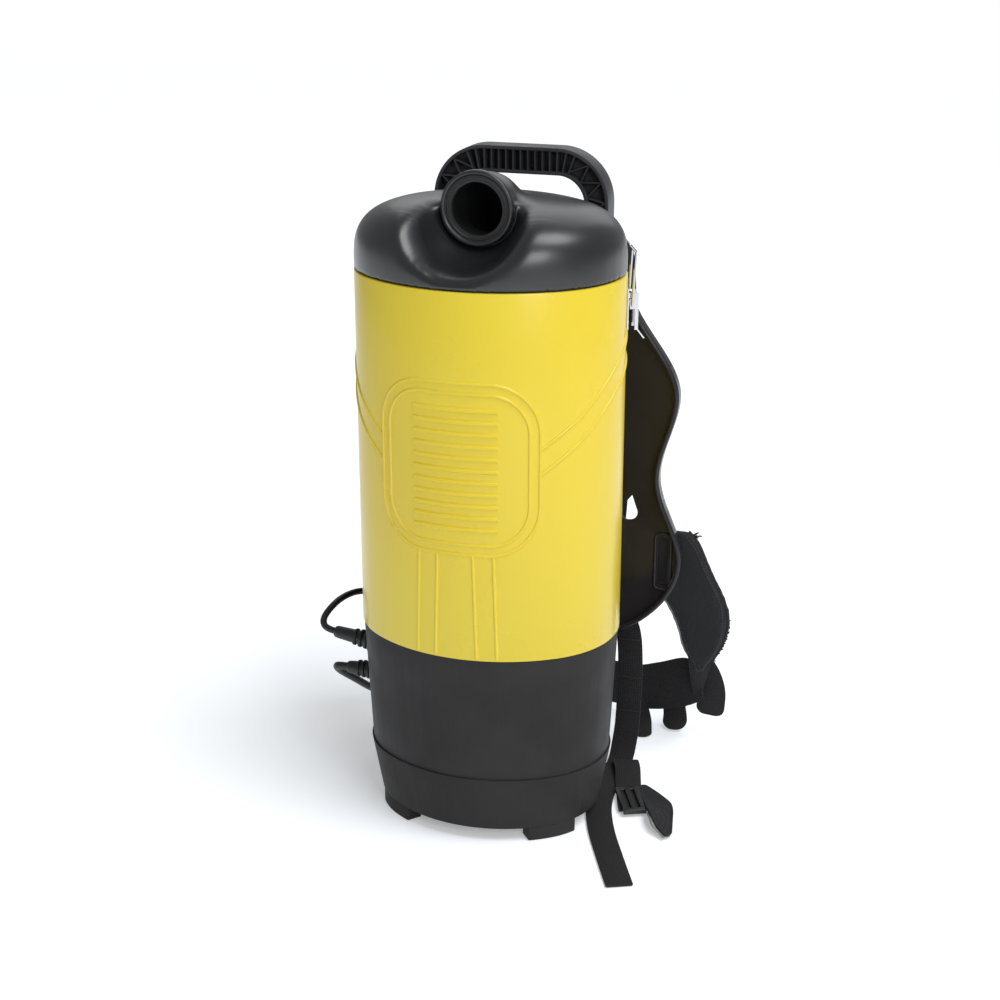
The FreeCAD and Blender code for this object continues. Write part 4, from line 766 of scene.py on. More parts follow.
# Where the scoop's moves and the smoothing fade: (start, run) in millimetres
lidFades = {"depth": (0, 14), "seam": (519, 5), "front": (12, 8), "softReach": (50, 34),
            "softSeam": (518, 6), "lipReach": (38, 6), "softBack": (30, 40), "footLine": (517, 3)}
lidSoftness = {"rounds": 40, "pull": 0.7, "least": 0.08, "lipFirm": 0.82,
               "lipTurn": (0.45, 0.4), "hoodBack": -20}


def domeFront(x, z):
    # How far forward the dome's skin lies at each x and z, before it is scooped
    wide, deep, end, side = ovalArcs()
    step = np.clip((z - lidForm["foot"]) / lidForm["height"], 0, 0.9995)
    share = (1 - step ** lidForm["fullness"]) ** (1 / lidForm["fullness"])
    across = np.abs(x) / share
    middle = np.sqrt(np.maximum(side ** 2 - across ** 2, 0)) - (side - deep)
    ends = np.sqrt(np.maximum(end ** 2 - (across - wide + end) ** 2, 0))
    turn = side * (wide - end) / math.hypot(side - deep, wide - end)
    depth = np.where(across < turn, middle, ends)
    return np.where(across < wide, -depth * share, 0.0)


def easeStep(values, start, run):
    # From 0 at the start to 1 after the run, level at both
    values = np.clip((values - start) / run, 0, 1)
    return values * values * (3 - 2 * values)


def remeshedLid():
    piece = remeshedCopy("dome_lid", "lidShell", lidCharcoal, lidForm["voxel"])
    smooth = piece.modifiers.new("smooth", "CORRECTIVE_SMOOTH")
    smooth.iterations = 1
    smooth.smooth_type = "LENGTH_WEIGHTED"
    smooth.use_only_smooth = True
    applied(piece)
    smoothShade(piece)
    repaint(piece.data, lidCharcoal)
    return piece


def scoop(spots, rise, reach):
    # Moves the skin round the port back to the scoop's floor
    x, y, z = spots.T
    turn = np.arctan2(rise, x)
    corners = np.radians((-180, -90, 0, 90, 180))
    near, far = [np.interp(turn, corners, (sizes[2], sizes[1], sizes[0], sizes[3], sizes[2]))
                 for sizes in (lidForm["near"], lidForm["far"])]
    skin, floor = domeFront(x, z), lidForm["floor"]
    full = 1 - easeStep(reach, near, far - near)
    wanted = skin + (floor - skin) * full
    cut = np.clip((y - skin) / np.maximum(floor - skin, 1e-3), 0, 1)
    moved = (wanted - skin) * (1 - cut) + (wanted - floor) * cut
    held = (skin > floor - lidForm["shallow"]) | (reach < lidForm["flange"])
    fade = easeStep(floor - skin, *lidFades["depth"]) * easeStep(z, *lidFades["seam"])
    fade *= easeStep(-y, *lidFades["front"])
    spots[:, 1] += np.where(held, 0, moved * fade)


def lidSoft(spots, rise, reach):
    # Soft where the scoop runs out and round the hood, firm at the flange and the seam
    x, y, z = spots.T
    soft = 1 - easeStep(reach, *lidFades["softReach"])
    soft *= easeStep(z, *lidFades["softSeam"])
    lip = easeStep(-rise / np.maximum(reach, 1), *lidSoftness["lipTurn"])
    soft *= 1 - lidSoftness["lipFirm"] * lip * easeStep(reach, *lidFades["lipReach"])
    soft[(reach < lidForm["flange"]) & (y < lidSoftness["hoodBack"])] = 0
    soft *= 1 - easeStep(y, *lidFades["softBack"])
    least = lidSoftness["least"] * easeStep(z, *lidFades["footLine"])
    return np.maximum(soft, least * (reach > lidForm["flange"]))


def makeLid():
    piece = remeshedLid()
    mesh = piece.data
    spots = np.empty(len(mesh.vertices) * 3)
    mesh.vertices.foreach_get("co", spots)
    spots = spots.reshape(-1, 3) * 1000
    rise = spots[:, 2] - lidForm["port"]
    reach = np.hypot(spots[:, 0], rise)
    scoop(spots, rise, reach)
    soft = lidSoft(spots, rise, reach)[:, None]
    ends = np.empty(len(mesh.edges) * 2, dtype=np.int32)
    mesh.edges.foreach_get("vertices", ends)
    a, b = ends.reshape(-1, 2).T
    joined = np.bincount(np.concatenate((a, b)), minlength=len(spots)).astype(float)[:, None]
    for n in range(lidSoftness["rounds"]):
        total = np.stack([np.bincount(a, spots[b, axis], len(spots))
                          + np.bincount(b, spots[a, axis], len(spots))
                          for axis in range(3)], axis=1)
        spots += (total / joined - spots) * (lidSoftness["pull"] * soft)
    mesh.vertices.foreach_set("co", (spots / 1000).ravel())
    mesh.update()
    return piece


settle(makeLid(), "lid", ["dome_lid"])
# The port's ring and the step behind it: (distance before the axis, radius) pairs
portRings = {
    "portLip": (lidCharcoal, "charcoal_gloss", (
        (28.6, 28.4), (35.8, 28.4), (36.7, 29.2), (36.9, 30.2), (36.7, 31.3), (35.6, 32.3),
        (33.0, 32.5), (30.0, 32.2), (28.6, 31.6))),
    "portStep": (mouldedBlack, "black_moulding", (
        (35.6, 25.0), (36.1, 25.4), (36.2, 26.4), (35.6, 27.0), (34.9, 26.4), (34.9, 25.4))),
}
for name, (finish, slot, profile) in portRings.items():
    ring = lathe(name, profile, (0, 0, lidForm["port"]), (0, -1, 0), finish, 96, True)
    settle(ring, "lid")
print("lid moulded")

# Ribbed strain reliefs: (distance from the flank, radius)
reliefs = {
    "strain_relief_switch": ("switchRelief", (-117.5, 0, 146), 8, (
        (-0.4, 11.0), (2.4, 11.0), (3.0, 10.4), (3.0, 7.0), (4.6, 6.6), (5.0, 8.7), (5.8, 9.1),
        (7.6, 9.0), (8.2, 8.5), (8.4, 6.7), (10.4, 6.6), (10.7, 8.3), (11.5, 8.7), (13.2, 8.6),
        (13.8, 8.0), (14.0, 6.6), (16.2, 6.5), (16.5, 7.7), (17.3, 8.1), (19.0, 8.0), (19.6, 7.4),
        (20.0, 6.6), (27, 6.3), (36, 5.9), (38.4, 5.5), (39.7, 4.6), (40.0, 3.2))),
    "strain_relief_power": ("powerRelief", (-116.0, 0, 116), 0, (
        (-0.4, 11.0), (2.4, 11.0), (3.0, 10.4), (3.0, 7.2), (4.4, 6.9), (4.8, 8.6), (5.6, 9.0),
        (7.2, 8.9), (7.8, 8.3), (8.0, 6.9), (9.8, 6.8), (10.1, 8.1), (10.9, 8.5), (12.4, 8.4),
        (13.0, 7.8), (13.2, 6.8), (15.0, 6.7), (15.3, 7.7), (16.1, 8.1), (17.6, 8.0), (18.2, 7.4),
        (18.4, 6.6), (25.6, 6.0), (27.8, 5.6), (28.9, 4.9), (29.2, 3.8))),
}
for node, (name, root, tilt, profile) in reliefs.items():
    turn = math.radians(tilt)
    piece = lathe(name, profile, root, (-math.cos(turn), 0, math.sin(turn)), mouldedBlack, 48)
    settle(piece, "shell", [node])


# Lower shells and the rest of the hard mouldings keep the CAD shape with eased edges
eased = {
    "motor_housing": ("housingShell", housingCharcoal, "charcoal_shell", "shell", 0.8),
    "base_ring": ("footRing", baseCharcoal, "dark_base", "shell", 1.2),
    "base_feet": ("feet", baseCharcoal, "dark_base", "shell", 3.0),
    "backplate": ("harnessPlate", plateBlack, "black_plate", "shell", 1.3),
    "switch_box": ("hipSwitch", mouldedBlack, "black_moulding", "shell", 1.0),
    "rocker_switch": ("rocker", rockerRed, "rocker_red", "rocker", 0.8),
    "buckle_socket": ("buckleSocket", mouldedBlack, "black_moulding", "shell", 0.9),
    "buckle_insert": ("buckleInsert", mouldedBlack, "black_moulding", "buckle", 0.9),
    "ladder_lock_left": ("ladderLockLeft", mouldedBlack, "black_moulding", "shell", 0.8),
    "ladder_lock_right": ("ladderLockRight", mouldedBlack, "black_moulding", "shell", 0.8),
    "plug_body": ("plugBody", cordSheath, "cord_sheath", "shell", 1.0),
    "carry_handle": ("handle", handleBlack, "black_handle", "shell", 1.6),
}
for node, (name, finish, slot, body, width) in eased.items():
    settle(easedCopy(node, name, finish, width), body, [node])
print("hard mouldings eased")

# Ribs, liner and braces in the handle's open channel. Shares of the arch's length go from
# its right foot over the top to its left foot
grip = {"outerHalf": 82, "top": 607, "corner": 48, "foot": 546, "bar": 24, "wall": 3,
        "front": 86.5, "floor": 97.0, "pitch": 6.4, "ribThick": 1.2, "overlap": 0.3,
        "ribbed": (0.27, 0.73), "lined": (0.004, 0.996), "liner": (0.4, 3.0),
        "braced": ((0.02, 0.26), (0.98, 0.74)), "braceHalf": 0.55, "braceShort": 1.5,
        "braceIn": 0.4}


def gripSpot(share, inset):
    # A spot on the arch by its share of the length, at a depth from the outside
    half, top, corner = (grip[key] - inset for key in ("outerHalf", "top", "corner"))
    low = top - corner
    leg, bend, flat = low - grip["foot"], math.pi / 2 * corner, half - corner
    hand = 1 if share <= 0.5 else -1
    reach = min(share, 1 - share) * 2 * (leg + bend + flat)
    if reach <= leg:
        return hand * half, grip["foot"] + reach
    if reach <= leg + bend:
        turn = (reach - leg) / corner
        return hand * (flat + corner * math.cos(turn)), low + corner * math.sin(turn)
    return hand * (flat - (reach - leg - bend)), top


def gripRun(shares, inset, count):
    start, end = shares
    return [gripSpot(start + (end - start) * n / count, inset) for n in range(count + 1)]


def makeGripRibs():
    deep = (grip["front"] + grip["floor"]) / 2
    line = [mm(x, deep, z) for x, z in gripRun(grip["ribbed"], grip["bar"] / 2, 60)]
    size = (grip["ribThick"], grip["floor"] - grip["front"],
            grip["bar"] - 2 * (grip["wall"] - grip["overlap"]))
    blockRow("gripRibs", [line], grip["pitch"], size, handleBlack)


def makeGripLiner():
    # The channel's floor, let into its walls
    past, thick = grip["liner"]
    front, back = grip["floor"], grip["floor"] + thick
    outer = gripRun(grip["lined"], grip["wall"] - past, 80)
    inner = gripRun(grip["lined"], grip["bar"] - grip["wall"] + past, 80)
    places = []
    for (ax, az), (bx, bz) in zip(outer, inner):
        places += [mm(ax, front, az), mm(bx, front, bz), mm(bx, back, bz), mm(ax, back, az)]
    last = len(places) - 4
    faces = bandFaces(len(outer), 4) + [(0, 3, 2, 1), (last, last + 1, last + 2, last + 3)]
    settle(newPiece("gripLiner", places, faces, handleBlack, False), "shell")


def makeGripBraces():
    # Thin walls that zigzag up both legs
    places, faces = [], []
    for shares in grip["braced"]:
        sides = (gripRun(shares, grip["bar"] - grip["wall"] - grip["braceShort"], 6),
                 gripRun(shares, grip["wall"], 6))
        spots = [sides[n % 2][n] for n in range(7)]
        for (ax, az), (bx, bz) in zip(spots, spots[1:]):
            length = math.hypot(bx - ax, bz - az)
            nx = (bz - az) / length * grip["braceHalf"]
            nz = -(bx - ax) / length * grip["braceHalf"]
            base = len(places)
            for y in (grip["front"] + grip["braceIn"], grip["floor"]):
                places += [mm(ax + nx, y, az + nz), mm(bx + nx, y, bz + nz),
                           mm(bx - nx, y, bz - nz), mm(ax - nx, y, az - nz)]
            faces += [(base, base + 1, base + 2, base + 3),
                      (base + 4, base + 7, base + 6, base + 5)]
            faces += [(base + n, base + 4 + n, base + 4 + (n + 1) % 4, base + (n + 1) % 4)
                      for n in range(4)]
    piece = newPiece("gripBraces", places, faces, handleBlack, smooth=False, weld=False)
    settle(piece, "shell")


makeGripRibs()
makeGripLiner()
makeGripBraces()
print("handle ribbed")

# Adjuster webbing: places in millimetres, then the direction across the band
fall = ((56, 145.9, 214.7, 1, 0, 0), (57, 143, 205, 1, 0, 0), (69, 139, 186, 1, 0, 0),
        (80, 131, 166, 1, 0, 0), (94, 119, 155, 1, 0, 0), (104, 113.5, 138, 1, 0, 0),
        (107, 112, 110, 1, 0, 0), (107, 111, 75, 1, 0, 0))
webbing = {
    "webbingRight": {"node": "webbing_right", "hand": 1, "ends": (0.6, 1.2), "route": fall + (
        (106, 110, 42, 1, 0, 0), (104, 107, 20, 1, 0, 0), (103, 100, 8, 1, -0.1, 0),
        (102, 90, 2.6, 1, -0.1, 0), (101, 78, 1.5, 1, -0.05, 0), (100, 45, 1.4, 1, 0.05, 0),
        (105, 8, 1.4, 0.97, 0.23, 0), (118, -32, 1.4, 0.93, 0.36, 0),
        (137, -75, 1.4, 0.91, 0.42, 0), (158, -120, 1.4, 0.93, 0.36, 0))},
    "webbingLeft": {"node": "webbing_left", "hand": -1, "ends": (0.6, 1.2), "route": fall + (
        (106, 113, 42, 1, 0, 0), (104, 117, 18, 1, 0, 0), (100, 124, 6, 0.8, 0.6, 0),
        (93, 133, 1.5, 0.66, 0.75, 0), (82, 140, 1.4, 0.4, 0.9, 0), (54, 142, 1.4, 0.05, 1, 0))},
    "adjusterFold": {"node": None, "hand": 1, "ends": (0.6, 0.6), "route": (
        (108, 97, 6, 0.95, 0.3, 0), (110, 92, 9.5, 0.95, 0.3, 0), (115, 80, 8.5, 0.94, 0.34, 0),
        (119, 66, 4.5, 0.94, 0.34, 0), (124, 48, 3.8, 0.94, 0.34, 0),
        (131, 26, 4.0, 0.93, 0.37, 0), (135.5, 13, 3.9, 0.93, 0.37, 0),
        (136.6, 10, 2.8, 0.93, 0.37, 0), (135.5, 13, 1.7, 0.93, 0.37, 0),
        (131, 26, 1.4, 0.93, 0.37, 0), (124, 48, 1.4, 0.94, 0.34, 0),
        (116, 68, 1.4, 0.94, 0.34, 0), (108, 90, 1.6, 0.95, 0.3, 0))},
}
strapWidth, strapThick = 24.6, 1.7


for name, strap in webbing.items():
    hand = strap["hand"]
    route = [(hand * x, y, z, hand * a, b, c) for x, y, z, a, b, c in strap["route"]]
    piece = strapMesh(name, route, strapWidth, strapThick, 0.05, strap["ends"])
    settle(piece, "shell", [strap["node"]] if strap["node"] else ())
print("webbing hung")

# Cross lines sewn on the right webbing, at these spots
sewn = {"spots": ((107, 110.3, 132), (107, 110.0, 92), (106.6, 109.2, 56)), "half": 11,
        "pitch": 2.2, "stitch": (1.4, 0.6, 0.6)}
blockRow("webbingStitches", [[mm(x - sewn["half"], y, z), mm(x + sewn["half"], y, z)]
                             for x, y, z in sewn["spots"]],
         sewn["pitch"], sewn["stitch"], threadBlack)

# Padded harness: (name, voxel, drawn in, most it may swell, fill), in millimetres
pads = {
    "lumbar_pad": ("lumbarPad", 4.5, 1.6, 3.0, 0.7),
    "belt_pad_right": ("beltPadRight", 3.4, 1.0, 2.0, 0.5),
    "belt_pad_left": ("beltPadLeft", 3.4, 1.0, 2.0, 0.5),
}
for node, (name, voxel, shrink, swell, fill) in pads.items():
    piece = paddedCopy(node, name, padCloth, voxel, shrink, swell)
    settle(piece, "shell", [node])
print("pads stuffed")

# Shoulder pads: (y, z) spots along the band's middle, and its section. The section is a
# squared oval, with a power for its sides and one for its faces
shoulderRoute = ((117.3, 470), (119.6, 498), (133, 513), (153, 508), (168, 484), (175, 440),
                 (176, 380), (171, 320), (160, 262), (146, 215))
shoulderBand = {"across": 56.0, "width": 62.0, "thick": 12.0, "turn": 36, "end": 7.0,
                "endIn": 2.0, "endThick": 0.25, "square": (0.45, 0.75), "pucker": 0.05}


def shoulderPath():
    # (y, z) along the band, then the direction square to its face there
    path = curved(shoulderRoute, 8)
    spots = []
    for n, (y, z) in enumerate(path):
        ay, az = path[max(n - 1, 0)]
        by, bz = path[min(n + 1, len(path) - 1)]
        reach = math.hypot(by - ay, bz - az)
        spots.append((y, z, -(bz - az) / reach, (by - ay) / reach))
    return spots


def makeShoulderPad(name, hand):
    # A stuffed band: its section is full in the middle and thin at the piped sides
    path = shoulderPath()
    travel = [0.0]
    for before, after in zip(path, path[1:]):
        travel.append(travel[-1] + math.dist(before[:2], after[:2]))
    count, endIn = shoulderBand["turn"], shoulderBand["endIn"]
    places = []
    for n, (y, z, outY, outZ) in enumerate(path):
        gone = min(travel[n], travel[-1] - travel[n])
        full = math.sqrt(1 - (1 - min(gone / shoulderBand["end"], 1)) ** 2)
        for k in range(count):
            turn = math.tau * k / count
            wide, tall = (math.copysign(abs(part) ** power, part) for part, power in
                          zip((math.cos(turn), math.sin(turn)), shoulderBand["square"]))
            pucker = 1 + shoulderBand["pucker"] * noise.noise((k * 0.35, z * 0.05, hand))
            a = wide * (shoulderBand["width"] / 2 - endIn + endIn * full)
            b = (tall * shoulderBand["thick"] / 2 * max(full, shoulderBand["endThick"])
                 * pucker)
            places.append(mm(hand * (shoulderBand["across"] + a), y + outY * b, z + outZ * b))
    faces = bandFaces(len(path), count)
    faces.append(tuple(range(count)))
    faces.append(tuple((len(path) - 1) * count + k for k in reversed(range(count))))
    piece = newPiece(name, places, faces, padCloth, weld=False)
    shadeByAngle(piece, 60)
    return piece


for side, hand in (("right", 1), ("left", -1)):
    pad = makeShoulderPad("shoulderPad" + side.capitalize(), hand)
    settle(pad, "shell", ["shoulder_pad_" + side])

# Piping and stitches along the pads' edges. Belt levels are (height, inner x, outer x, y),
# and the left pad is tucked in by up to beltTuck over the first tuckRun of height
beltLevels = ((250, 126, 160, 117.4), (232, 118, 174, 118.4), (205, 118, 184, 126),
              (178, 124, 194, 136), (157, 134, 198, 145), (127, 143, 195, 156),
              (100, 150, 184, 165), (78, 156, 171, 173))
beltTuck = 24.0
edging = {"tuckRun": 45, "piping": 3.6, "pipingLift": 0.3, "seamIn": 7, "seamFaces": (-4.9, 4.9),
          "shoulderPiping": 3.4, "shoulderLift": 0.2, "shoulderEdges": (26, 86),
          "shoulderSeams": (32, 80), "shoulderFace": 5.9, "pitch": 3.6,
          "stitch": (2.4, 0.7, 0.7), "stitchLift": 0.1, "stitchMost": 3, "sides": 8}


def hugged(piece, spots, lift, most=5.0):
    # The path laid onto a stuffed piece's skin; spots far from it are left out
    path = []
    for spot in spots:
        found, near, normal, face = piece.closest_point_on_mesh(mm(*spot))
        if found and (near - mm(*spot)).length < most / 1000:
            path.append(near + normal * lift / 1000)
    return path


def makeBeltEdges():
    outer, inner, seams = [], [], []
    for hand, side in ((1, "Right"), (-1, "Left")):
        pad = bpy.data.objects["beltPad" + side]
        left, right = [], []
        for z, low, high, y in beltLevels:
            tuck = beltTuck if hand < 0 else 0.0
            tuck *= min(1.0, (beltLevels[0][0] - z) / edging["tuckRun"])
            left.append((low - tuck, y, z))
            right.append((high - tuck, y, z))
        edges = ((curved(right, 8), -edging["seamIn"], outer),
                 (curved(left, 8), edging["seamIn"], inner))
        for path, inward, piped in edges:
            piped.append(hugged(pad, [(hand * x, y, z) for x, y, z in path],
                                edging["pipingLift"]))
        for face in edging["seamFaces"]:
            for path, inward, piped in edges:
                spots = [(hand * (x + inward), y + face, z) for x, y, z in path]
                seams.append(hugged(pad, spots, edging["stitchLift"], edging["stitchMost"]))
    for name, lines, finish in (("beltPiping", outer, boundEdge),
                                ("beltPaleEdge", inner, paleBacking)):
        raisedLines(name, lines, edging["piping"], edging["sides"], finish)
    blockRow("beltStitches", seams, edging["pitch"], edging["stitch"], threadBlack)


def makeShoulderEdges():
    piping, seams = [], []
    path = shoulderPath()
    for hand, side in ((1, "Right"), (-1, "Left")):
        pad = bpy.data.objects["shoulderPad" + side]
        for across in edging["shoulderEdges"]:
            piping.append(hugged(pad, [(hand * across, spot[0], spot[1]) for spot in path],
                                 edging["shoulderLift"]))
        for across in edging["shoulderSeams"]:
            out = edging["shoulderFace"]
            spots = [(hand * across, y + out * outY, z + out * outZ)
                     for y, z, outY, outZ in path]
            seams.append(hugged(pad, spots, edging["stitchLift"], edging["stitchMost"]))
    raisedLines("shoulderPiping", piping, edging["shoulderPiping"], edging["sides"], boundEdge)
    blockRow("shoulderStitches", seams, edging["pitch"], edging["stitch"], threadBlack)


makeBeltEdges()
makeShoulderEdges()
print("pads piped")

# Worn edge: threads that stand out of the right belt pad's outer edge and top corner
fray = {"from": 0.62, "to": 0.95, "step": 1.5, "reach": 2.4, "seed": 7, "thread": 1.3,
        "knot": (161, 117.5, 243), "knotThreads": 16}


def makeFray():
    noise.seed_set(fray["seed"])
    edge = curved([(high, y, z) for z, low, high, y in beltLevels], 40)
    pad = bpy.data.objects["beltPadRight"]
    span = fray["to"] - fray["from"]
    count = int(span * len(edge) / fray["step"])
    tufts = []
    for n in range(count):
        share = fray["from"] + span * n / count
        x, y, z = edge[int(share * (len(edge) - 1))]
        jitter = noise.noise_vector((n * 0.73, fray["seed"], 0.3)) * fray["reach"]
        lift = abs(noise.noise((n * 0.41, 3.1, fray["seed"]))) * fray["reach"] * 1.6
        root = pad.closest_point_on_mesh(mm(x, y, z))[1]
        tufts.append([root, root + mm(1.2 + lift * 0.5, jitter.y * 0.4, jitter.z),
                      root + mm(1.6 + lift, jitter.y, jitter.z * 1.8)])
    kx, ky, kz = fray["knot"]
    for n in range(fray["knotThreads"]):
        turn = noise.noise_vector((n * 1.37, 5.0, fray["seed"]))
        tufts.append([mm(kx + turn.x * 3, ky, kz - 3),
                      mm(kx + 2 + turn.x * 7, ky + turn.y * 3, kz + 0.5 + turn.z * 3),
                      mm(kx + 5 + turn.x * 11, ky + turn.y * 4, kz + 1.5 + turn.z * 6)])
    raisedLines("frayedThreads", tufts, fray["thread"], 5, webWeave)


makeFray()

# Belt webbing. The last number of a spot is its share of the full width. The left strap is
# drawn in by up to beltTuck, from nothing at the buckle to all of it where the span ends
beltBand = {"width": 48.0, "thick": 2.2, "crown": 0.1, "buckle": 28.3, "span": 139.7}
beltRuns = {
    "beltStrapRight": {"node": "belt_strap_right", "hand": 1, "ends": (8, 0.6),
                       "route": ((161, 184, 66, 0.1, 0, 1, 0.86), (148, 190, 58, 0.1, 0, 1, 1.02),
                                 (126, 199, 46, 0.06, 0, 1, 1.04), (95, 211, 34, 0, 0, 1, 1.0),
                                 (62, 221.3, 31, 0, 0, 1, 1.0), (40, 222, 31, 0, 0, 1, 0.98),
                                 (22.6, 222, 31, 0, 0, 1, 0.98))},
    "beltStrapLeft": {"node": "belt_strap_left", "hand": -1, "ends": (8, 0.6),
                      "route": ((168, 180, 84, 0.1, 0, 1, 0.62), (152, 187, 66, 0.1, 0, 1, 0.83),
                                (126, 200, 46, 0.06, 0, 1, 1.0), (95, 211, 34, 0, 0, 1, 1.0),
                                (62, 221.3, 31, 0, 0, 1, 1.0), (40, 222, 31, 0, 0, 1, 0.98),
                                (22.6, 222, 31, 0, 0, 1, 0.98))},
    "beltEndRight": {"node": None, "hand": 1, "ends": (0.6, 8.5), "share": 0.6,
                     "route": ((163, 185, 88, 0.93, 0, -0.36, 0.7), (169, 186.5, 70, 0.93, 0, -0.36, 1),
                               (174.5, 188, 50, 0.94, 0, -0.34, 1), (173, 189, 24, 0.97, 0, -0.2, 1))},
    "beltTipRight": {"node": None, "hand": 1, "ends": (3, 2.5),
                     "route": ((167.5, 161.5, 108, 1, 0.1, 0, 0.6), (164.5, 169, 86, 1, 0.1, 0, 0.44),
                               (162, 178.5, 64, 1, 0.1, 0, 0.3), (160.5, 187, 41, 1, 0, 0, 0.13))},
    "beltLoopRight": {"node": None, "hand": 1, "ends": (0.6, 11), "share": 0.55,
                      "route": ((130, 199, 46, 1, -0.3, 0, 1), (133, 199, 30, 1, -0.3, 0, 1),
                                (136, 196, 14, 1, -0.3, 0, 1), (137, 187, 2.2, 1, -0.1, 0, 1))},
    "beltTongueRight": {"node": None, "hand": 1, "ends": (0.6, 9), "share": 0.42,
                        "route": ((92, 211, 22, 1, -0.2, 0, 1), (96, 207, 8, 1, -0.2, 0, 1),
                                  (101, 196, 2.2, 1, -0.1, 0, 1), (106, 176, 1.6, 1, 0, 0, 1),
                                  (109, 164, 1.4, 1, 0, 0, 1))},
}
for name, strap in beltRuns.items():
    hand = strap["hand"]
    tuck = beltTuck if hand < 0 else 0.0
    route = []
    for x, y, z, a, b, c, share in strap["route"]:
        gone = max(0.0, (x - beltBand["buckle"]) / beltBand["span"])
        route.append((hand * (x - tuck * gone), y, z, hand * a, b, c,
                      share * strap.get("share", 1.0)))
    piece = strapMesh(name, route, beltBand["width"], beltBand["thick"], beltBand["crown"],
                      strap["ends"])
    if name == "beltStrapLeft":
        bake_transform(piece)
    else:
        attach(piece, "shell")
    if strap["node"]:
        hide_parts(strap["node"])
print("belt made")

# Adjuster tabs: stiff cloth ends with a bound edge and a pale underside. Top and under are
# the heights of each layer's two faces, and the rises are (where they start, how far they go)
tabs = {
    "strap_tab_right": {"name": "strapTabRight", "lift": 8.0, "corner": 6.0, "outline": (
        (131.8, 51.2), (137, 59), (153, 46.6), (168.9, 31.7), (173.5, 19), (181.8, -23.2),
        (178, -30.5), (165, -19.5), (156.2, -1))},
    "strap_tab_left": {"name": "strapTabLeft", "lift": 0.0, "corner": 6.0, "outline": (
        (-52.6, 121), (-52.6, 162), (-24, 160), (-12, 150), (-12, 133), (-24, 123))},
}
tabForm = {"top": (2.4, 5.2), "under": (1.2, 2.3), "underGrow": 0.5, "edgeRound": 0.45,
           "riseFront": (28, 42), "riseLeft": (182, 22),
           "rings": (1.0, 0.985, 0.93, 0.8, 0.6, 0.4, 0.2), "binding": 2.6, "bindingAt": 4.2,
           "paleEdge": ((154.5, 1.5), (158, -6), (164.2, -19.3), (172, -25.6), (177.6, -30.2)),
           "paleWide": 2.2, "paleIn": 0.9, "paleAt": 2.0, "sides": 8}


def roundedOutline(corners, radius):
    # Each corner of a flat outline becomes a short quadratic curve
    steps = 6
    made = []
    for n, corner in enumerate(corners):
        here = Vector(corner)
        before, after = Vector(corners[n - 1]), Vector(corners[(n + 1) % len(corners)])
        cut = min(radius, (before - here).length * 0.45, (after - here).length * 0.45)
        a = here + (before - here).normalized() * cut
        b = here + (after - here).normalized() * cut
        for step in range(steps + 1):
            t = step / steps
            made.append(a * (1 - t) ** 2 + here * 2 * t * (1 - t) + b * t ** 2)
    return made


def tabHeight(spot, lift):
    # A lifted tab rises smoothly to its front, and less near its right end
    toFront, toLeft = (min(1.0, max(0.0, (start - at) / run)) for at, (start, run) in
                       ((spot.y, tabForm["riseFront"]), (spot.x, tabForm["riseLeft"])))
    return lift * toFront * toFront * (3 - 2 * toFront) * toLeft


def tabLayer(name, tab, levels, grow, finish):
    ring = roundedOutline(tab["outline"], tab["corner"])
    middle = sum(ring, Vector((0, 0))) / len(ring)
    rings, lift = tabForm["rings"], tab["lift"]
    places = []
    for level, inward in zip(levels, (tabForm["edgeRound"], -tabForm["edgeRound"])):
        for n, share in enumerate(rings):
            for spot in ring:
                out = spot - middle
                at = middle + out * share + (out.normalized() * grow if n < 2 else Vector((0, 0)))
                height = level + (0.0 if n else inward) + tabHeight(at, lift)
                places.append(mm(at.x, at.y, height))
        places.append(mm(middle.x, middle.y, level + tabHeight(middle, lift)))
    count = len(ring)
    block = len(rings) * count + 1
    faces = []
    for base in (0, block):
        faces += bandFaces(len(rings), count, base)
        last = base + (len(rings) - 1) * count
        faces += [(last + k, last + (k + 1) % count, base + block - 1) for k in range(count)]
    faces += [(k, (k + 1) % count, block + (k + 1) % count, block + k) for k in range(count)]
    piece = newPiece(name, places, faces, finish)
    shadeByAngle(piece, 50)
    return piece


for node, tab in tabs.items():
    top = tabLayer(tab["name"], tab, tabForm["top"], 0.0, padCloth)
    settle(top, "shell", [node])
    under = tabLayer(tab["name"] + "Underside", tab, tabForm["under"], tabForm["underGrow"],
                     paleBacking)
    settle(under, "shell")
    edge = [mm(spot.x, spot.y, tabForm["bindingAt"] + tabHeight(spot, tab["lift"]))
            for spot in roundedOutline(tab["outline"], tab["corner"])]
    raisedLines(tab["name"] + "Binding", [edge], tabForm["binding"], tabForm["sides"], boundEdge,
                True)
line = [mm(x - tabForm["paleIn"], y - tabForm["paleIn"],
           tabForm["paleAt"] + tabHeight(Vector((x, y)), tabs["strap_tab_right"]["lift"]))
        for x, y in curved(tabForm["paleEdge"], 8)]
raisedLines("tabPaleEdge", [line], tabForm["paleWide"], tabForm["sides"], paleBacking)
print("tabs bound")

# Paper bag and cloth filter: sacks that bulge between their folds
sacks = {
    "filter_bag": {"name": "paperBag", "finish": bagPaper, "wall": 0.9, "folds": 12, "deep": 1.6,
                   "creases": 0.7, "mouth": 30.0, "openTop": False},
    "cloth_filter": {"name": "clothFilter", "finish": filterCloth, "wall": 1.6, "folds": 20,
                     "deep": 0.9, "creases": 0.3, "mouth": 0.0, "openTop": True},
}
sackForm = {"steps": 144, "clear": 0.6, "beside": 0.4, "turn": 5, "turnPower": 6, "end": 6,
            "bulgePower": 0.35, "mouthFrom": 92, "creaseAcross": 3, "creaseTall": 14}


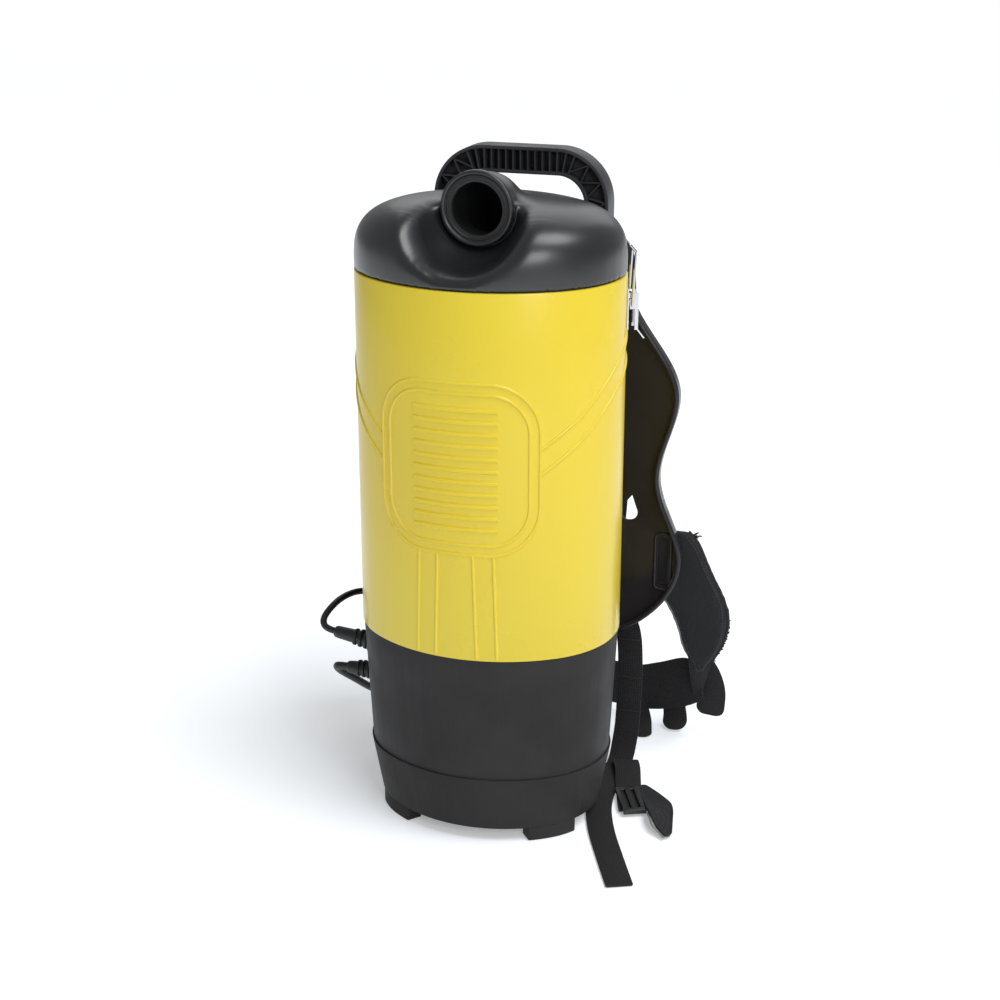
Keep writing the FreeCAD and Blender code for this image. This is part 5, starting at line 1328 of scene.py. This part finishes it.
def sackRows(sack, foot, top):
    # (height, share of the full outline, how much it bulges) from the foot to the mouth
    clear, turn, power = (sackForm[key] for key in ("clear", "turn", "turnPower"))
    rows = []
    for n in range(9):
        share = (n + 0.6) / 9.6
        rows.append((foot + clear + turn * share ** power, share, 0.0))
    for n in range(41):
        part = n / 40
        rows.append((foot + sackForm["end"] + (top - foot - 2 * sackForm["end"]) * part, 1.0,
                     math.sin(math.pi * part) ** sackForm["bulgePower"]))
    if sack["openTop"]:
        return rows + [(top - sackForm["beside"], 1.0, 0.0)]
    for n in range(8):
        share = 1 - (n + 1) / 9 * (1 - sack["mouth"] / sackForm["mouthFrom"])
        rows.append((top - clear - turn * share ** power, share, 0.0))
    return rows


def makeSack(node, sack):
    low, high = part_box(node)
    rows = sackRows(sack, low[2] * 1000, high[2] * 1000)
    inset = bodyOval["halfWidth"] - high[0] * 1000 + sackForm["beside"] + sack["deep"]
    steps, across = sackForm["steps"], sackForm["creaseAcross"]
    places = []
    for height, share, bulge in rows:
        for n in range(steps):
            angle = 2 * math.pi * n / steps
            wave = math.cos(sack["folds"] * angle) * sack["deep"] * bulge
            crease = noise.noise((math.cos(angle) * across, math.sin(angle) * across,
                                  height / sackForm["creaseTall"]))
            x, y = ovalSpot(angle, inset - wave - crease * sack["creases"] * bulge)
            places.append(mm(x * share, y * share, height))
    faces = bandFaces(len(rows), steps) + [tuple(range(steps))]
    piece = newPiece(sack["name"], places, faces, sack["finish"])
    wall = piece.modifiers.new("wall", "SOLIDIFY")
    wall.thickness = sack["wall"] / 1000
    wall.offset = -1
    applied(piece)
    smoothShade(piece)
    settle(piece, "shell", [node])


for node, sack in sacks.items():
    makeSack(node, sack)
foams = {"motor_prefilter": ("foamFilter", filterFoam), "exhaust_filter": ("feltFilter", filterFelt)}
for node, (name, finish) in foams.items():
    piece = easedCopy(node, name, finish, 1.2)
    settle(piece, "shell", [node])
print("filters made")

# The plate's rolled front edge and the raised frames of its belt slots
plate = {"rimWide": 5.2, "rimDepth": 101.2, "rimInset": 2.1, "frameWide": 3.4,
         "frameDepth": 107.6, "slotAcross": 137.0, "slotHeight": 218.0, "slotHalf": (7.5, 28.0),
         "outline": ((50, 543), (86, 515), (103, 468), (148.5, 386), (132, 300), (155.5, 222),
                     (119, 158)), "foot": 127, "head": 548}


def plateLoop():
    # Periodic cubic through the plate's own outline spots, drawn in by the rim
    right = list(plate["outline"])
    left = [(-x, z) for x, z in reversed(right)]
    spots = np.array(right + [(0, plate["foot"])] + left + [(0, plate["head"])], float)
    count = len(spots)
    after = np.roll(spots, -1, axis=0)
    gaps = np.linalg.norm(after - spots, axis=1)
    grid, pull = np.zeros((count, count)), np.zeros((count, 2))
    for n in range(count):
        before, here = gaps[n - 1], gaps[n]
        grid[n, n - 1], grid[n, n], grid[n, (n + 1) % count] = before, 2 * (before + here), here
        pull[n] = 6 * ((after[n] - spots[n]) / here - (spots[n] - spots[n - 1]) / before)
    bend = np.linalg.solve(grid, pull)
    made = []
    for n in range(count):
        here, then = bend[n], bend[(n + 1) % count]
        for step in range(16):
            b = step / 16
            a = 1 - b
            made.append(a * spots[n] + b * after[n] + ((a ** 3 - a) * here + (b ** 3 - b) * then)
                        * gaps[n] ** 2 / 6)
    loop = []
    for n, spot in enumerate(made):
        run = made[(n + 1) % len(made)] - made[n - 1]
        inward = np.array((-run[1], run[0])) / np.linalg.norm(run)
        if inward.dot(np.array((0, 340)) - spot) < 0:
            inward = -inward
        place = spot + inward * plate["rimInset"]
        loop.append(mm(place[0], plate["rimDepth"], place[1]))
    return loop


def makePlateEdges():
    raisedLines("plateRim", [plateLoop()], plate["rimWide"], 14, plateBlack, True)
    wide, tall = plate["slotHalf"]
    frames = []
    for hand in (1, -1):
        loop = roundedOutline([(hand * plate["slotAcross"] + a * wide,
                                plate["slotHeight"] + b * tall)
                               for a, b in ((1, 1), (-1, 1), (-1, -1), (1, -1))], 5.0)
        frames.append([mm(spot.x, plate["frameDepth"], spot.y) for spot in loop])
    raisedLines("slotFrames", frames, plate["frameWide"], 12, plateBlack, True)


makePlateEdges()
print("plate edged")

# Finishes of the CAD nodes that stay as they are
kept = {
    "inlet_elbow": mouldedBlack, "inlet_gasket": sealRubber, "lid_seal": sealRubber,
    "bag_collar": bagPaper, "filter_ring": mouldedBlack, "motor_deck": mouldedBlack,
    "fan_case": fanPlastic, "impeller": zincSteel, "motor_stator": zincSteel,
    "armature": woundCopper, "motor_shaft": zincSteel, "motor_bearings": zincSteel,
    "brush_holders": mouldedBlack, "carbon_brushes": carbonBlock, "motor_mounts": sealRubber,
    "base_screws": zincSteel, "plug_pins": brassPins,
    "latch_base_left": chromeSteel, "latch_base_right": chromeSteel,
    "latch_lever_left": chromeSteel, "latch_lever_right": chromeSteel,
    "latch_bail_left": chromeSteel, "latch_bail_right": chromeSteel,
    "latch_pins": chromeSteel, "latch_rivets": chromeSteel, "plate_spacers": mouldedBlack,
    "plate_screws": zincSteel,
}
for node, finish in kept.items():
    repaint(cadNodes[node].data, finish)

# Floor, backdrop and light. Lamps are (place, power, size in metres), and the sun is (place,
# strength, spread in degrees)
studio = {"floor": 6.0, "floorDrop": -0.0004, "floorColour": (0.90, 0.94, 0.985, 1),
          "floorGlow": 0.3, "air": (0.97, 0.98, 1, 1), "ambient": 0.31, "aim": (0, 0, 0.3),
          "sun": ((0.6, -0.16, 1.12), 1.7, 34.0), "key": ((1.2, -1.55, 1.2), 12.5, 0.7),
          "fill": ((-1.9, -1.5, 1.5), 0.4, 1.4), "rear": ((-0.3, 2.2, 2.1), 13.0, 2.4)}


def showTo(tree, ray, plain, shown, kind):
    # The camera and one more kind of ray meet the second shader, and all others the first
    path = addNode(tree, "ShaderNodeLightPath")
    pick = addNode(tree, "ShaderNodeMixShader")
    join(larger(tree, path.outputs["Is Camera Ray"], path.outputs[ray]), pick, "Fac")
    join(plain, pick, 1)
    join(shown, pick, 2)
    join(pick.outputs["Shader"], addNode(tree, kind), "Surface")


def makeStage():
    material = bpy.data.materials.new("paleFloor")
    material.use_nodes = True
    tree = material.node_tree
    tree.nodes.clear()
    cloth = addNode(tree, "ShaderNodeBsdfDiffuse", Color=studio["floorColour"])
    glow = addNode(tree, "ShaderNodeEmission", Strength=studio["floorGlow"])
    add = addNode(tree, "ShaderNodeAddShader")
    join(cloth.outputs["BSDF"], add, 0)
    join(glow.outputs["Emission"], add, 1)
    showTo(tree, "Is Glossy Ray", cloth.outputs["BSDF"], add.outputs["Shader"],
           "ShaderNodeOutputMaterial")
    half, drop = studio["floor"], studio["floorDrop"]
    floor = newPiece("floor", [(-half, -half, drop), (half, -half, drop), (half, half, drop),
                               (-half, half, drop)], [(0, 1, 2, 3)], material, False)

    world = bpy.data.worlds.new("studioAir")
    bpy.context.scene.world = world
    world.use_nodes = True
    tree = world.node_tree
    tree.nodes.clear()
    soft = addNode(tree, "ShaderNodeBackground", Color=studio["air"], Strength=studio["ambient"])
    white = addNode(tree, "ShaderNodeBackground", Color=(1, 1, 1, 1), Strength=1.0)
    showTo(tree, "Is Transmission Ray", soft.outputs["Background"],
           white.outputs["Background"], "ShaderNodeOutputWorld")


def aimed(direction):
    return direction.to_track_quat("-Z", "Y").to_matrix().to_4x4()


def makeLamp(name, place, power, size):
    lamp = bpy.data.lights.new(name, "AREA")
    lamp.energy = power
    lamp.size = size
    turn = aimed(Vector(studio["aim"]) - Vector(place))
    linked(name, lamp).matrix_world = Matrix.Translation(place) @ turn


def makeSun(name, place, strength, spread):
    # Even over the whole floor, soft at the edges of its shadow
    sun = bpy.data.lights.new(name, "SUN")
    sun.energy = strength
    sun.angle = math.radians(spread)
    linked(name, sun).matrix_world = aimed(-Vector(place))


makeStage()
makeSun("sunLamp", *studio["sun"])
for name in ("key", "fill", "rear"):
    makeLamp(name + "Lamp", *studio[name])
bpy.context.scene.view_settings.view_transform = "Standard"
print("studio set")
